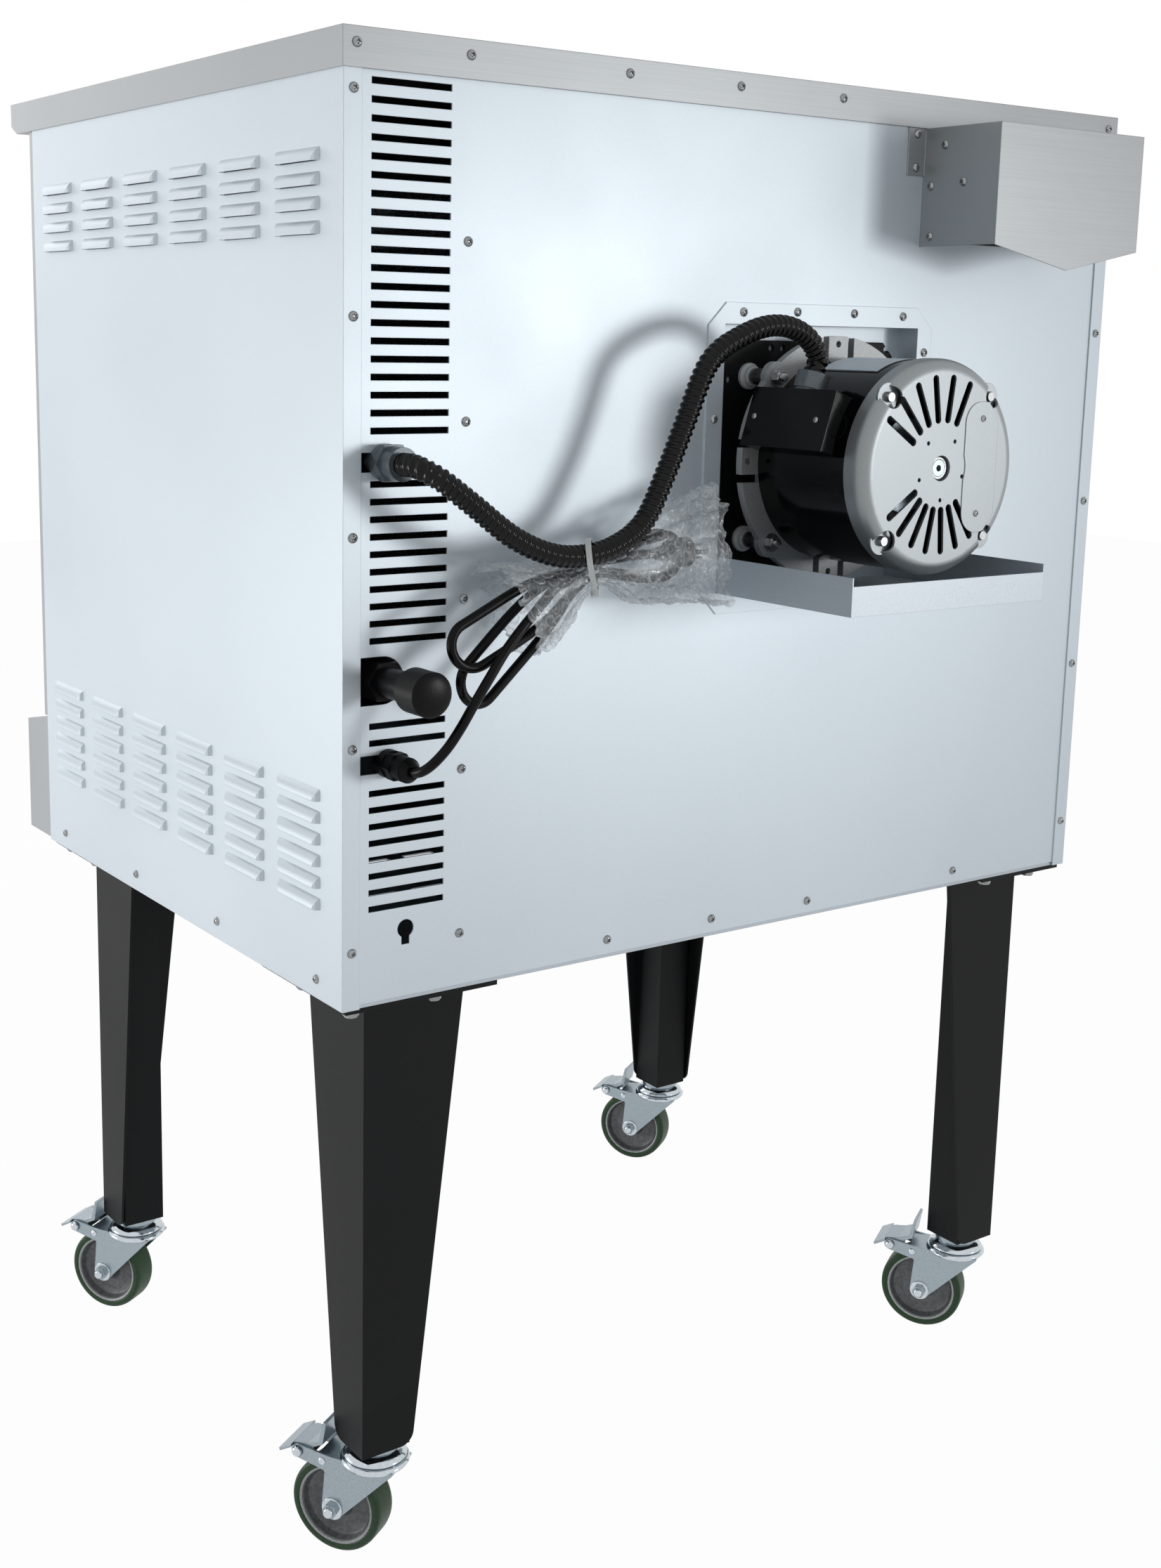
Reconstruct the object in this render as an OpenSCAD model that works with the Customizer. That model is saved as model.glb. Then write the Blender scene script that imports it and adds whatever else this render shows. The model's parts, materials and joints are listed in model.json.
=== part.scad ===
/* [Body] */
// Width across the two side panels
body_w = 970; // [900:10:1060]
// Depth of the side panels
body_d = 705; // [680:5:760]
// Height from the bottom edge of the body to the top of the lid
body_h = 847; // [830:1:880]
// Height of the body's bottom edge above the floor
base_z = 615; // [580:5:660]
// Sheet metal thickness of the outer panels
sheet = 1.5; // [1:0.1:2]
// Width of the side panels' flanges over the rear panel
rear_lap = 18; // [14:1:22]
// Height of the lid's skirt
lid_skirt = 33; // [28:1:40]
// Overhang of the lid in front of the side panels
lid_nose = 60; // [56:1:80]
// Height of the lower front panel at its front edge
kick_h = 136; // [120:1:146]
// Projection of the lower front panel
kick_d = 64; // [40:1:70]
// Diameter of the panel screw heads
screw_d = 9; // [7:0.5:11]

/* [Cavity] */
// Inner width of the baking cavity
cavity_w = 690; // [660:10:700]
// Inner height of the baking cavity
cavity_h = 508; // [480:2:520]
// Inner depth of the baking cavity
cavity_d = 608; // [560:2:620]
// Height of the cavity floor above the bottom of the body
cavity_z = 230; // [210:2:240]
// Cavity wall thickness
cavity_t = 1.6; // [1:0.1:3]
// Distance from the cavity's rear wall to the fan baffle
plenum_d = 96; // [90:1:120]
// Width of the cooking compartment and its doors, seen from the front
door_zone_w = 781; // [760:1:790]
// Number of rack positions
rack_levels = 11; // [9:1:12]

/* [Doors] */
// Door thickness
door_t = 50; // [40:1:56]
// Running gap around the doors
door_gap = 3; // [2.5:0.5:4]
// Hinge pin diameter
hinge_d = 8; // [6:0.5:10]
// Running clearance on pins and shafts, on the radius
run_gap = 0.05; // [0.03:0.01:0.09]
// Distance of the handle's front from the door's face
handle_reach = 43; // [36:1:50]

/* [Ventilation] */
// Length of the rear ventilation slots
slot_l = 79; // [60:1:84]
// Height of a rear slot
slot_h = 5.7; // [4:0.1:8]
// Pitch of the rear slots
slot_pitch = 15.2; // [14:0.1:15.5]
// Length of a side louvre
louvre_l = 78; // [60:1:90]
// Pitch of the louvre columns
louvre_col = 110.3; // [104:0.1:112]
// Pitch of the louvre rows
louvre_row = 20.2; // [18:0.1:22]
// How far a louvre stands out of the side panel
louvre_out = 6; // [4:0.5:8]

/* [Motor] */
// Sideways place of the motor and fan axis
motor_x = -65; // [-80:1:-50]
// Height of the motor and fan axis above the bottom of the body
motor_z = 484; // [474:1:494]
// Side of the square motor well
well_w = 264; // [262:1:280]
// Depth of the motor well
well_d = 28; // [20:1:34]
// Diameter of the motor's steel shell
motor_d = 200; // [180:1:206]
// Length of the motor's steel shell
motor_l = 122; // [110:1:140]
// Height of the motor's front face behind the rear panel line
motor_y = 20; // [18:1:26]
// Motor shaft diameter
shaft_d = 16; // [12:1:19]
// Sideways distance of the motor's mounting bolts from the axis
bolt_x = 79; // [74:1:84]
// Vertical distance of the motor's mounting bolts from the axis
bolt_z = 80.5; // [76:0.5:84]
// Diameter of the blower wheel
wheel_d = 300; // [260:2:330]
// Number of blower blades
blade_n = 24; // [16:1:30]
// Side gap between the motor's tray and the well
tray_gap = 1.5; // [0.5:0.5:6]
// How far the tray reaches behind the rear panel
tray_reach = 187; // [176:1:200]

/* [Services] */
// Height of the flexible conduit's entry
conduit_z = 490; // [485:1:495]
// Outer diameter of the ribbed conduit
conduit_d = 20.5; // [18:0.5:24]
// Spacing of the conduit's ribs
rib_pitch = 6.4; // [6:0.1:9]
// Height of the gas inlet
gas_z = 299; // [295:1:303]
// Outer diameter of the gas inlet pipe
gas_d = 27; // [24:0.5:30]
// Height of the power cord's gland
cord_z = 224; // [220:1:228]
// Diameter of the power cord
cord_d = 9; // [8:0.5:10]

/* [Flue hood] */
// Width of the flue hood
hood_w = 216; // [200:1:230]
// Depth of the flue hood
hood_d = 100; // [90:1:112]
// Height of the flue hood's sides
hood_h = 117; // [100:1:120]
// Depth of the point at the bottom of its rear face
hood_point = 22; // [15:1:30]

/* [Stand] */
// Width of a leg's flange at the top
leg_top_w = 110; // [100:1:120]
// Width of a leg's flange at the bottom
leg_foot_w = 56; // [54:1:64]
// Steel thickness of the legs
leg_t = 3; // [2:0.5:4]
// Side of the square tube inside each leg
leg_tube = 50; // [44:1:51]
// Caster wheel diameter
caster_d = 100; // [96:1:102]
// Caster wheel width
caster_w = 33; // [30:1:36]
// Distance of the wheel axle behind the swivel axis
caster_trail = 37; // [32:1:40]
// Mounting height of a caster
caster_h = 126; // [124:1:130]

/* [Hidden] */
$fn = 48;
eps = 0.01;
louvre_sink = 0.4;

head_rise = 0.28;
hw = body_w / 2;
mid_x = (louvre_out - louvre_sink - screw_d * head_rise) / 2;
in_w = body_w - 2 * sheet;
top_z = body_h - sheet;
front_y = -body_d;
frame_t = 2;
frame_y = front_y + frame_t;

door_x0 = -hw + door_gap;
door_x1 = door_x0 + door_zone_w;
door_mid = (door_x0 + door_x1) / 2;
door_y0 = front_y - door_gap;
door_y1 = door_y0 - door_t;
kick_top = kick_h + 13;
door_z0 = kick_top + 11;
door_z1 = body_h - lid_skirt - 10;
hinge_in = 10;
hinge_y = door_y1 + hinge_in;
handle_y = door_y1 - handle_reach;
panel_x0 = door_x1 + door_gap;
panel_y = front_y - 8;
panel_xc = (panel_x0 + hw) / 2;

cav_x0 = motor_x - cavity_w / 2;
cav_x1 = motor_x + cavity_w / 2;
cav_y = frame_y + cavity_d;
cav_top = cavity_z + cavity_h;
baffle_y = cav_y - plenum_d;

back_y = (-handle_y - tray_reach) / 2;

well_lap = 19;
well_floor = -well_d;
plate_t = 4;
plate_w = well_w - 26;
plate_h = well_w - 33;
plate_face = well_floor + plate_t;
shell_y1 = motor_y + motor_l;
bell_y0 = shell_y1 - 2;
bell_y1 = shell_y1 + 23;
motor_r = motor_d / 2;
shaft_r = shaft_d / 2;
flange_r = motor_r + 21;
tray_z = motor_z - well_w / 2;
tray_w = well_w - 2 * sheet - 2 * tray_gap;
box_turn = 17;
box_shift = 8;
box_in = motor_r - 12;
box_out = motor_r + 24.5;
box_w = 56;
box_y0 = motor_y + 2;
box_y1 = box_y0 + 110;
box_mid = motor_r + 8;

slot_x = hw - 67.2;
slot_top = body_h - 41.3;
slot_rows = [for (i = [0:47]) if (i <= 19 || (i >= 22 && i <= 31) || (i >= 36 && i != 38 && i != 39)) i];

corner_x = hw - 10;
keyhole_x = hw - 66.6;
hood_x = -(hw - 185);
hood_z = body_h - lid_skirt - hood_h;
hood_ear = 24;

lid_spots = [hw - 12, hw - 124, 190, 58, -74, -(hw - 13)];
corner_spots = [798, 613, 426, 240, 54];
far_spots = [614, 427, 240, 53];
mid_spots = [679, 524, 366, 210, 54];
bottom_spots = [[187, 18.5], [54, 18.5], [-78, 17], [-299, 18]];
side_spots = [-48, -254, -453, -656];
frame_spots = [[108, 142], [38, 143.5], [-39, 143.5], [-108, 142], [141, 40], [-141, 106]];
hood_spots = [[106, 0], [106, -32]];
hood_plate_spots = [[14, 16], [14, 52], [38, 40], [14, 96]];

gas_x = hw - 41;
conduit_x = hw - 42;
gland_x = hw - 47;

leg_right_x = hw - 58;
leg_left_x = -(hw - 20);
leg_rear_y = -56;
leg_front_y = -(body_d - 3);
tube_in = 28;
leg_spots = [
    [leg_right_x, leg_rear_y, 1, 1],
    [leg_right_x, leg_front_y, 1, -1],
    [leg_left_x, leg_front_y, -1, -1],
    [leg_left_x, leg_rear_y, -1, 1]];
leg_foot_z = caster_h - base_z;
caster_turn = -58.6;
axle_z = caster_d / 2 - base_z;
plate_z = 106 - base_z + (caster_h - 126);
cheek_in = caster_w / 2 + 2.5;
cheek_t = 2.5;
pedal_u = 77;
pedal_z = plate_z - 3;
pin_r = 3;

// Turns a drawing in x and z into a sheet that runs forward from y0
module upright(y0, t) {
    translate([0, y0, 0]) rotate([90, 0, 0]) linear_extrude(t) children();
}

// Turns a drawing in y and z into a sheet that runs from x0 toward +x
module sideways(x0, w) {
    translate([x0, 0, 0]) rotate([90, 0, 90]) linear_extrude(w) children();
}

// Box between two corners
module span(a, b) {
    translate(a) cube(b - a);
}

// Cylinder along y from y0 to y1
module rod_y(x, z, y0, y1, r, n = 48) {
    translate([x, y1, z]) rotate([90, 0, 0]) cylinder(h = y1 - y0, r = r, $fn = n);
}

// Cylinder along x from x0 to x1
module rod_x(y, z, x0, x1, r) {
    translate([x0, y, z]) rotate([0, 90, 0]) cylinder(h = x1 - x0, r = r);
}

// Cylinder along z from z0 to z1
module rod_z(x, y, z0, z1, r, n = 48) {
    translate([x, y, z0]) cylinder(h = z1 - z0, r = r, $fn = n);
}

// Rectangle in x and z with cut corners
module chamfered(w, h, c) {
    polygon([[-w / 2 + c, -h / 2], [w / 2 - c, -h / 2], [w / 2, -h / 2 + c], [w / 2, h / 2 - c],
        [w / 2 - c, h / 2], [-w / 2 + c, h / 2], [-w / 2, h / 2 - c], [-w / 2, -h / 2 + c]]);
}

// Rectangle with round corners, about its centre
module rounded(w, h, r) {
    square([w - 2 * r, h], center = true);
    square([w, h - 2 * r], center = true);
    for (sx = [-1, 1], sz = [-1, 1]) {
        translate([sx * (w / 2 - r), sz * (h / 2 - r)]) circle(r);
    }
}

// Domed screw head with its seat at the origin, standing out along z
module pan_head(d = screw_d) {
    rise = d * head_rise;
    ball = (d * d / 4 + rise * rise) / (2 * rise);
    rotate_extrude($fn = 24) intersection() {
        translate([0, rise - ball]) circle(ball, $fn = 64);
        square([d / 2, rise]);
    }
}

module hex_head(af, h) {
    cylinder(h = h, d = af / cos(30), $fn = 6);
}

module rear_screw(x, z, y) {
    translate([x, y, z]) rotate([-90, 0, 0]) pan_head();
}

module placed() {
    translate([-mid_x, back_y, base_z]) children();
}

// Floor of the body: a shallow pan whose rims the panels are screwed to
module base_pan() {
    color([0.62, 0.65, 0.68])
    difference() {
        span([-in_w / 2, frame_y, 0], [in_w / 2, -2 * sheet, 34]);
        span([-in_w / 2 + 2, frame_y + 2, 2], [in_w / 2 - 2, -2 * sheet - 2, 40]);
        for (x = [-330:60:330]) {
            span([x - 20, -420, -1], [x + 20, -412, 3]);
            span([x - 20, -300, -1], [x + 20, -292, 3]);
        }
    }
}

// Slot that is open at the panel's edge and round at its inner end
module edge_notch(x, z, r) {
    translate([x, z]) circle(r);
    translate([x, z - r]) square([hw, 2 * r]);
}

module rear_panel() {
    color([0.72, 0.76, 0.8])
    upright(-sheet, sheet)
    difference() {
        translate([-in_w / 2, 4]) square([in_w, top_z - 4]);
        for (i = slot_rows) {
            translate([slot_x - slot_l / 2, slot_top - i * slot_pitch - slot_h / 2]) square([slot_l, slot_h]);
        }
        edge_notch(conduit_x, conduit_z, 8.5);
        edge_notch(gas_x, gas_z, 21.5);
        edge_notch(gland_x, cord_z, 8.5);
        translate([keyhole_x, 68]) circle(8.5);
        translate([keyhole_x - 4.25, 53]) square([8.5, 15]);
        translate([motor_x - well_w / 2, motor_z - well_w / 2]) square(well_w);
        translate([hood_x - 80, cav_top - 36]) square([160, 34]);
    }
}

// Plan of a louvre's hood with bevelled ends, drawn outward along x
module louvre_plan(grow) {
    w = louvre_l / 2 - grow;
    out = louvre_out - grow;
    polygon([[-1, -w], [0, -w], [out - 2, -w + 2], [out, -w + 6], [out, w - 6], [out - 2, w - 2], [0, w],
        [-1, w]]);
}

// Body of a louvre: its plan met by a curve that falls from the panel to the open lower edge
module louvre_hood(grow, z0, h) {
    intersection() {
        translate([-8, 0, 0]) rotate([90, 0, 0])
            cylinder(h = 2 * louvre_l, r = 8 + louvre_out - grow, center = true);
        translate([0, 0, z0]) linear_extrude(h) louvre_plan(grow);
    }
}

module louvre_hole(y, z) {
    translate([hw - 2 * sheet, y - louvre_l / 2 + louvre_out, z]) {
        cube([3 * sheet, louvre_l - 2 * louvre_out, 8]);
    }
}

module louvre(y, z) {
    translate([hw - louvre_sink, y, z]) difference() {
        louvre_hood(0, 0, 16);
        louvre_hood(1.2, -1, 17);
    }
}

louvre_first = -80;
louvre_spots = [
    for (c = [0:5], r = [0:3]) [louvre_first - c * louvre_col, body_h - 105 - r * louvre_row],
    for (c = [0:5], r = [0:5]) [louvre_first - c * louvre_col, 186 - r * louvre_row]];

// Folded side: web, flange over the rear panel and hem at the front
module side_sheet(right) {
    mirror([right ? 0 : 1, 0, 0]) {
        span([hw - sheet, front_y, 0], [hw, 0, top_z]);
        span([hw - rear_lap, -sheet, 0], [hw, 0, top_z]);
    }
}

module right_side_panel() {
    color([0.72, 0.76, 0.8]) {
        difference() {
            side_sheet(true);
            for (p = louvre_spots) louvre_hole(p[0], p[1]);
        }
        for (p = louvre_spots) louvre(p[0], p[1]);
    }
}

module left_side_panel() {
    color([0.72, 0.76, 0.8]) side_sheet(false);
}

// Lid: a folded cover whose skirt laps the side panels and whose nose hangs over the doors
module top_cover() {
    nose_y = front_y - lid_nose;
    skirt_z = body_h - lid_skirt;
    color([0.75, 0.74, 0.72])
    difference() {
        sideways(-hw - sheet, body_w + 2 * sheet)
            polygon([[sheet, skirt_z], [sheet, body_h], [nose_y, body_h], [nose_y, skirt_z + 9],
                [nose_y + 17, skirt_z]]);
        sideways(-hw, body_w)
            polygon([[0, skirt_z - 1], [0, top_z], [nose_y + sheet, top_z],
                [nose_y + sheet, skirt_z + 9 + sheet / 2], [nose_y + 17 + sheet / 2, skirt_z + sheet],
                [front_y - door_gap, skirt_z + sheet], [front_y - door_gap, skirt_z - 1]]);
    }
}

// Face frame round the cavity, with the ears that carry the door pins
module front_frame() {
    ear_t = 4;
    color([0.7, 0.72, 0.74]) {
        upright(frame_y, frame_t) difference() {
            translate([-in_w / 2, 2]) square([in_w, top_z - 2]);
            translate([cav_x0, cavity_z]) square([cavity_w, cavity_h]);
            translate([panel_x0 + 24, kick_top + 24]) square([hw - panel_x0 - 48, door_z1 - kick_top - 48]);
        }
        for (x = [door_x0 + hinge_in, door_x1 - hinge_in], z = [door_z0 - 4 - ear_t, door_z1 + 2]) {
            difference() {
                span([x - hinge_in, hinge_y - hinge_in + 1, z], [x + hinge_in, front_y, z + ear_t]);
                rod_z(x, hinge_y, z - 1, z + ear_t + 1, hinge_d / 2 + run_gap);
            }
        }
    }
}

// Baking chamber, open to the front, with its shaft hole, flue duct and burner ports
module oven_cavity() {
    t = cavity_t;
    duct_x0 = hood_x - 80;
    duct_z = cav_top - 36;
    color([0.78, 0.79, 0.8])
    difference() {
        union() {
            span([cav_x0 - t, frame_y, cavity_z - t], [cav_x1 + t, cav_y + t, cav_top + t]);
            span([duct_x0, cav_y, duct_z], [duct_x0 + 160, -2 * sheet, duct_z + 34]);
        }
        span([cav_x0, frame_y - 1, cavity_z], [cav_x1, cav_y, cav_top]);
        span([duct_x0 + t, cav_y - 1, duct_z + t], [duct_x0 + 160 - t, 0, duct_z + 34 - t]);
        rod_y(motor_x, motor_z, cav_y - 1, cav_y + t + 1, 24);
        for (x = [-1, 1]) {
            span([motor_x + x * 200 - 70, cav_y - 70, cavity_z - t - 1],
                [motor_x + x * 200 + 70, cav_y - 40, cavity_z + 1]);
        }
    }
}

// Plate in front of the blower, open at both sides, with a ring guard over its inlet
module fan_baffle() {
    w = cavity_w - 120;
    inlet = wheel_d / 2 - 25;
    color([0.74, 0.75, 0.76]) {
        difference() {
            union() {
                span([motor_x - w / 2, baffle_y - 2, cavity_z], [motor_x + w / 2, baffle_y, cav_top]);
                for (x = [-1, 1], z = [cavity_z + 40, cav_top - 40]) {
                    rod_y(motor_x + x * (w / 2 - 20), z, baffle_y, cav_y, 8, 32);
                }
            }
            rod_y(motor_x, motor_z, baffle_y - 3, baffle_y + 1, inlet);
        }
        translate([motor_x, 0, motor_z]) upright(baffle_y - 2, 3) {
            for (r = [26:22:inlet - 8]) {
                difference() {
                    circle(r + 2);
                    circle(r - 2);
                }
            }
            for (turn = [0:45:135]) {
                rotate(turn) square([2 * inlet + 12, 4], center = true);
            }
        }
    }
}

rack_pitch = (cavity_h - 80) / rack_levels;
function rack_z(level) = cavity_z + 40 + level * rack_pitch;
rail_y0 = frame_y + 14;
rail_y1 = baffle_y - 14;
rail_out = 22;

// Ladders on both cavity walls: flat uprights and a rail for each rack position
module rack_guides() {
    color([0.8, 0.81, 0.82])
    for (s = [-1, 1]) translate([motor_x, 0, 0]) mirror([s < 0 ? 1 : 0, 0, 0]) {
        wall = cavity_w / 2;
        for (y = [rail_y0 + 40, rail_y1 - 40]) {
            span([wall - 8, y - 7, cavity_z + 12], [wall - 5, y + 7, cav_top - 12]);
            for (z = [cavity_z + 20, cav_top - 26]) {
                span([wall - 5, y - 4, z], [wall, y + 4, z + 6]);
            }
            for (level = [0:rack_levels - 1]) {
                span([wall - rail_out, y - 2, rack_z(level) - 2], [wall - 8, y + 2, rack_z(level) + 2]);
            }
        }
        for (level = [0:rack_levels - 1]) {
            rod_y(wall - rail_out, rack_z(level), rail_y0, rail_y1, 3);
        }
    }
}

rack_w = cavity_w - 20;
rack_front_gap = 8;
rack_back_gap = 6;
rack_d = rail_y1 - rack_back_gap - rail_y0 - rack_front_gap;
rack_wire = 3;

// Rack: a frame of square bar with round wires let into its front and back rails
module oven_rack(level) {
    z = rack_z(level) + 3 + rack_wire;
    y1 = rail_y1 - rack_back_gap;
    y0 = y1 - rack_d;
    half = rack_w / 2;
    color([0.83, 0.84, 0.85]) translate([motor_x, 0, z]) {
        for (s = [-1, 1]) {
            span([s * (half - rack_wire) - rack_wire, y0, -rack_wire],
                [s * (half - rack_wire) + rack_wire, y1, rack_wire]);
        }
        for (y = [y0, y1 - 2 * rack_wire]) {
            span([-half + 1, y, -rack_wire], [half - 1, y + 2 * rack_wire, rack_wire]);
        }
        span([-half + 1, (y0 + y1) / 2 - 3, -rack_wire], [half - 1, (y0 + y1) / 2 + 3, -1]);
        for (k = [1:24]) {
            rod_y(-half + k * rack_w / 25, 0, y0 + 1, y1 - 1, 1.6, 24);
        }
    }
}

rocker_z = 690;
thermostat_z = 560;
timer_z = 410;

// Control fascia: a folded pan with its knob shafts' bores, rocker cut-out and pilot lamps
module control_panel() {
    w = hw - panel_x0;
    z0 = kick_top + 1;
    z1 = body_h - lid_skirt - 1;
    color([0.76, 0.76, 0.75])
    difference() {
        union() {
            difference() {
                span([panel_x0, panel_y, z0], [hw, front_y, z1]);
                span([panel_x0 + sheet, panel_y + sheet, z0 + sheet], [hw - sheet, front_y + 1, z1 - sheet]);
            }
            for (z = [thermostat_z, timer_z]) {
                rod_y(panel_xc, z, panel_y - 3, panel_y + 1, 34);
            }
            for (x = [-22, 22]) {
                rod_y(panel_xc + x, rocker_z - 55, panel_y - 4, panel_y + 1, 7);
            }
            span([panel_xc - 17, panel_y - 3, rocker_z - 24], [panel_xc + 17, panel_y + 6, rocker_z + 24]);
        }
        for (z = [thermostat_z, timer_z]) {
            rod_y(panel_xc, z, panel_y - 4, front_y + 1, 4 + run_gap);
        }
        rod_x(panel_y, rocker_z, panel_xc - 12.4, panel_xc + 12.4, 19.4);
        rod_x(panel_y, rocker_z, panel_xc - 14, panel_xc + 14, 2 + run_gap);
    }
}

// Rocker with its pivot pins in the bezel
module power_switch() {
    color([0.1, 0.1, 0.1]) {
        difference() {
            rod_x(panel_y, rocker_z, panel_xc - 12, panel_xc + 12, 19);
            span([panel_xc - 20, panel_y - 30, rocker_z - 30], [panel_xc + 20, panel_y - 9, rocker_z + 30]);
            span([panel_xc - 20, panel_y + 5, rocker_z - 30], [panel_xc + 20, panel_y + 30, rocker_z + 30]);
        }
        rod_x(panel_y, rocker_z, panel_xc - 13.8, panel_xc + 13.8, 2);
    }
}

// Knob on its shaft, with a pointer rib across its face
module knob(z, d) {
    y0 = panel_y - 3.4;
    color([0.1, 0.1, 0.1]) {
        rod_y(panel_xc, z, y0 - 8, y0, d / 2 + 3);
        rod_y(panel_xc, z, y0 - 22, y0 - 8, d / 2);
        span([panel_xc - 4, y0 - 28, z - d / 2 + 2], [panel_xc + 4, y0 - 21, z + d / 2 - 2]);
        rod_y(panel_xc, z, y0 - 1, front_y + 0.5, 4);
    }
}

// Service cover below the doors: a folded channel with closed ends and a row of vents
module lower_front_panel() {
    y1 = front_y - kick_d;
    color([0.75, 0.74, 0.72])
    difference() {
        sideways(-hw, body_w) polygon([[front_y, 3], [y1, 3], [y1, kick_h], [front_y, kick_top]]);
        sideways(-hw + sheet, in_w) polygon([[front_y + 1, 3 + sheet], [y1 + sheet, 3 + sheet],
            [y1 + sheet, kick_h - sheet], [front_y + 1, kick_top - sheet]]);
        for (k = [-9:9]) {
            span([k * 44 - 16, y1 - 1, 20], [k * 44 + 16, y1 + sheet + 1, 26]);
        }
    }
}

burner_z = 130;
burner_pitch = 190;
burner_end = 60;
burner_y0 = front_y + 70;
burner_y1 = cav_y - burner_end;
burner_x = [for (k = [-1, 0, 1]) motor_x + k * burner_pitch];

// Three tube burners with port slots, flared throats and feet on the floor pan
module burners() {
    run = burner_y1 - burner_y0;
    color([0.55, 0.53, 0.5])
    for (x = burner_x) {
        difference() {
            translate([x, burner_y0, burner_z]) rotate([-90, 0, 0]) rotate_extrude()
                polygon([[24, -24], [26, -24], [19, 0], [19, run], [0, run], [0, run - 2], [17, run - 2], [17, 0]]);
            for (k = [0:11]) {
                span([x - 5, burner_y0 + 70 + k * 34, burner_z + 10], [x + 5, burner_y0 + 73 + k * 34, burner_z + 20]);
            }
        }
        for (y = [burner_y0 + 30, burner_y1 - 30]) {
            difference() {
                span([x - 24, y - 1.5, 2], [x + 24, y + 1.5, burner_z + 2]);
                rod_y(x, burner_z, y - 2, y + 2, 18);
            }
        }
    }
}

manifold_y = front_y + 26;
valve_y = front_y + 200;

// Manifold on its two brackets, with a spud for each burner, the gas valve and the riser from the inlet
module gas_train() {
    color([0.45, 0.43, 0.4]) {
        rod_x(manifold_y, burner_z, burner_x[0] - 30, gas_x, 11);
        for (x = burner_x) {
            rod_y(x, burner_z, manifold_y, burner_y0 - 12, 6);
        }
        rod_y(gas_x, burner_z, manifold_y, -120, 11);
        for (x = [motor_x - 95, motor_x + 95]) {
            span([x - 15, manifold_y - 2, 2], [x + 15, manifold_y + 2, burner_z]);
        }
        translate([gas_x, manifold_y, burner_z]) sphere(13);
        translate([gas_x, -120, burner_z]) sphere(15);
        rod_z(gas_x, -120, burner_z, gas_z - gas_d / 2 - 8, 11);
        span([gas_x - 26, valve_y - 40, burner_z - 30], [gas_x + 26, valve_y + 40, burner_z + 30]);
        rod_z(gas_x, valve_y, burner_z + 28, burner_z + 52, 18);
    }
}

// Inlet elbow and pipe stub that pass through the rear notch
module gas_inlet_pipe() {
    r = gas_d / 2;
    color([0.08, 0.08, 0.08])
    difference() {
        union() {
            rod_y(gas_x, gas_z, -120, 62, r);
            rod_y(gas_x, gas_z, -30, 8, r + 6, 6);
            translate([gas_x, -120, gas_z]) sphere(r + 4);
            rod_z(gas_x, -120, gas_z - r - 8, gas_z, r + 2);
        }
        rod_y(gas_x, gas_z, -118, 63, r - 3.5);
    }
}

module gas_pipe_cap() {
    r = gas_d / 2;
    color([0.07, 0.07, 0.07])
    difference() {
        union() {
            rod_y(gas_x, gas_z, 52, 80, r + 6.5);
            translate([gas_x, 80, gas_z]) rotate([-90, 0, 0]) rotate_extrude() intersection() {
                scale([1, 0.25]) circle(r + 6.5);
                square(r + 10);
            }
            rod_y(gas_x, gas_z, 46, 52, r + 4);
        }
        rod_y(gas_x, gas_z, 45, 62 + eps, r);
    }
}

// Outline of the hood's pointed rear face
module hood_face() {
    w = hood_w / 2;
    polygon([[hood_x - w, hood_z + hood_h], [hood_x - w, hood_z], [hood_x, hood_z - hood_point],
        [hood_x + w, hood_z], [hood_x + w, hood_z + hood_h]]);
}

// Flue hood: a folded box, open above and below, hung on the rear panel by its side ears
module flue_hood() {
    x1 = hood_x + hood_w / 2;
    x0 = hood_x - hood_w / 2;
    z1 = hood_z + hood_h;
    color([0.74, 0.73, 0.71])
    union() {
        for (x = [x0, x1 - sheet]) {
            span([x, -sheet, hood_z], [x + sheet, hood_d, z1]);
        }
        upright(hood_d, sheet) hood_face();
        span([x1 - sheet, -sheet, z1 - 47], [x1 + hood_ear, 0, z1]);
        span([x0 - hood_ear, -sheet, z1 - 47], [x0 + sheet, 0, z1]);
    }
}

// Square well in the rear panel with a flange round it and a recessed mounting floor
module motor_mount_frame() {
    outer = well_w + 2 * well_lap + 0.5;
    color([0.72, 0.74, 0.76])
    translate([motor_x, 0, motor_z]) {
        upright(0, sheet) difference() {
            chamfered(outer, outer, 22);
            square(well_w - 2 * sheet, center = true);
        }
        upright(-sheet, well_d - sheet) difference() {
            square(well_w, center = true);
            square(well_w - 2 * sheet, center = true);
        }
        upright(well_floor, sheet) difference() {
            square(well_w, center = true);
            circle(shaft_r + 14);
        }
    }
}

// Steel backing plate with its spare holes
module motor_plate() {
    color([0.06, 0.06, 0.06])
    translate([motor_x, 0, motor_z]) upright(plate_face, plate_t) difference() {
        chamfered(plate_w, plate_h, 14);
        circle(shaft_r + 12);
        for (p = [[49, 108], [34, 108], [-110, 108], [103, 77], [101.5, -76], [102.6, -91], [-103, 60]]) {
            translate(p) circle(3.5, $fn = 24);
        }
    }
}

mount_spots = [for (sx = [-1, 1], sz = [-1, 1]) [motor_x + sx * bolt_x, motor_z + sz * bolt_z]];
stud_r = 4;

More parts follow.
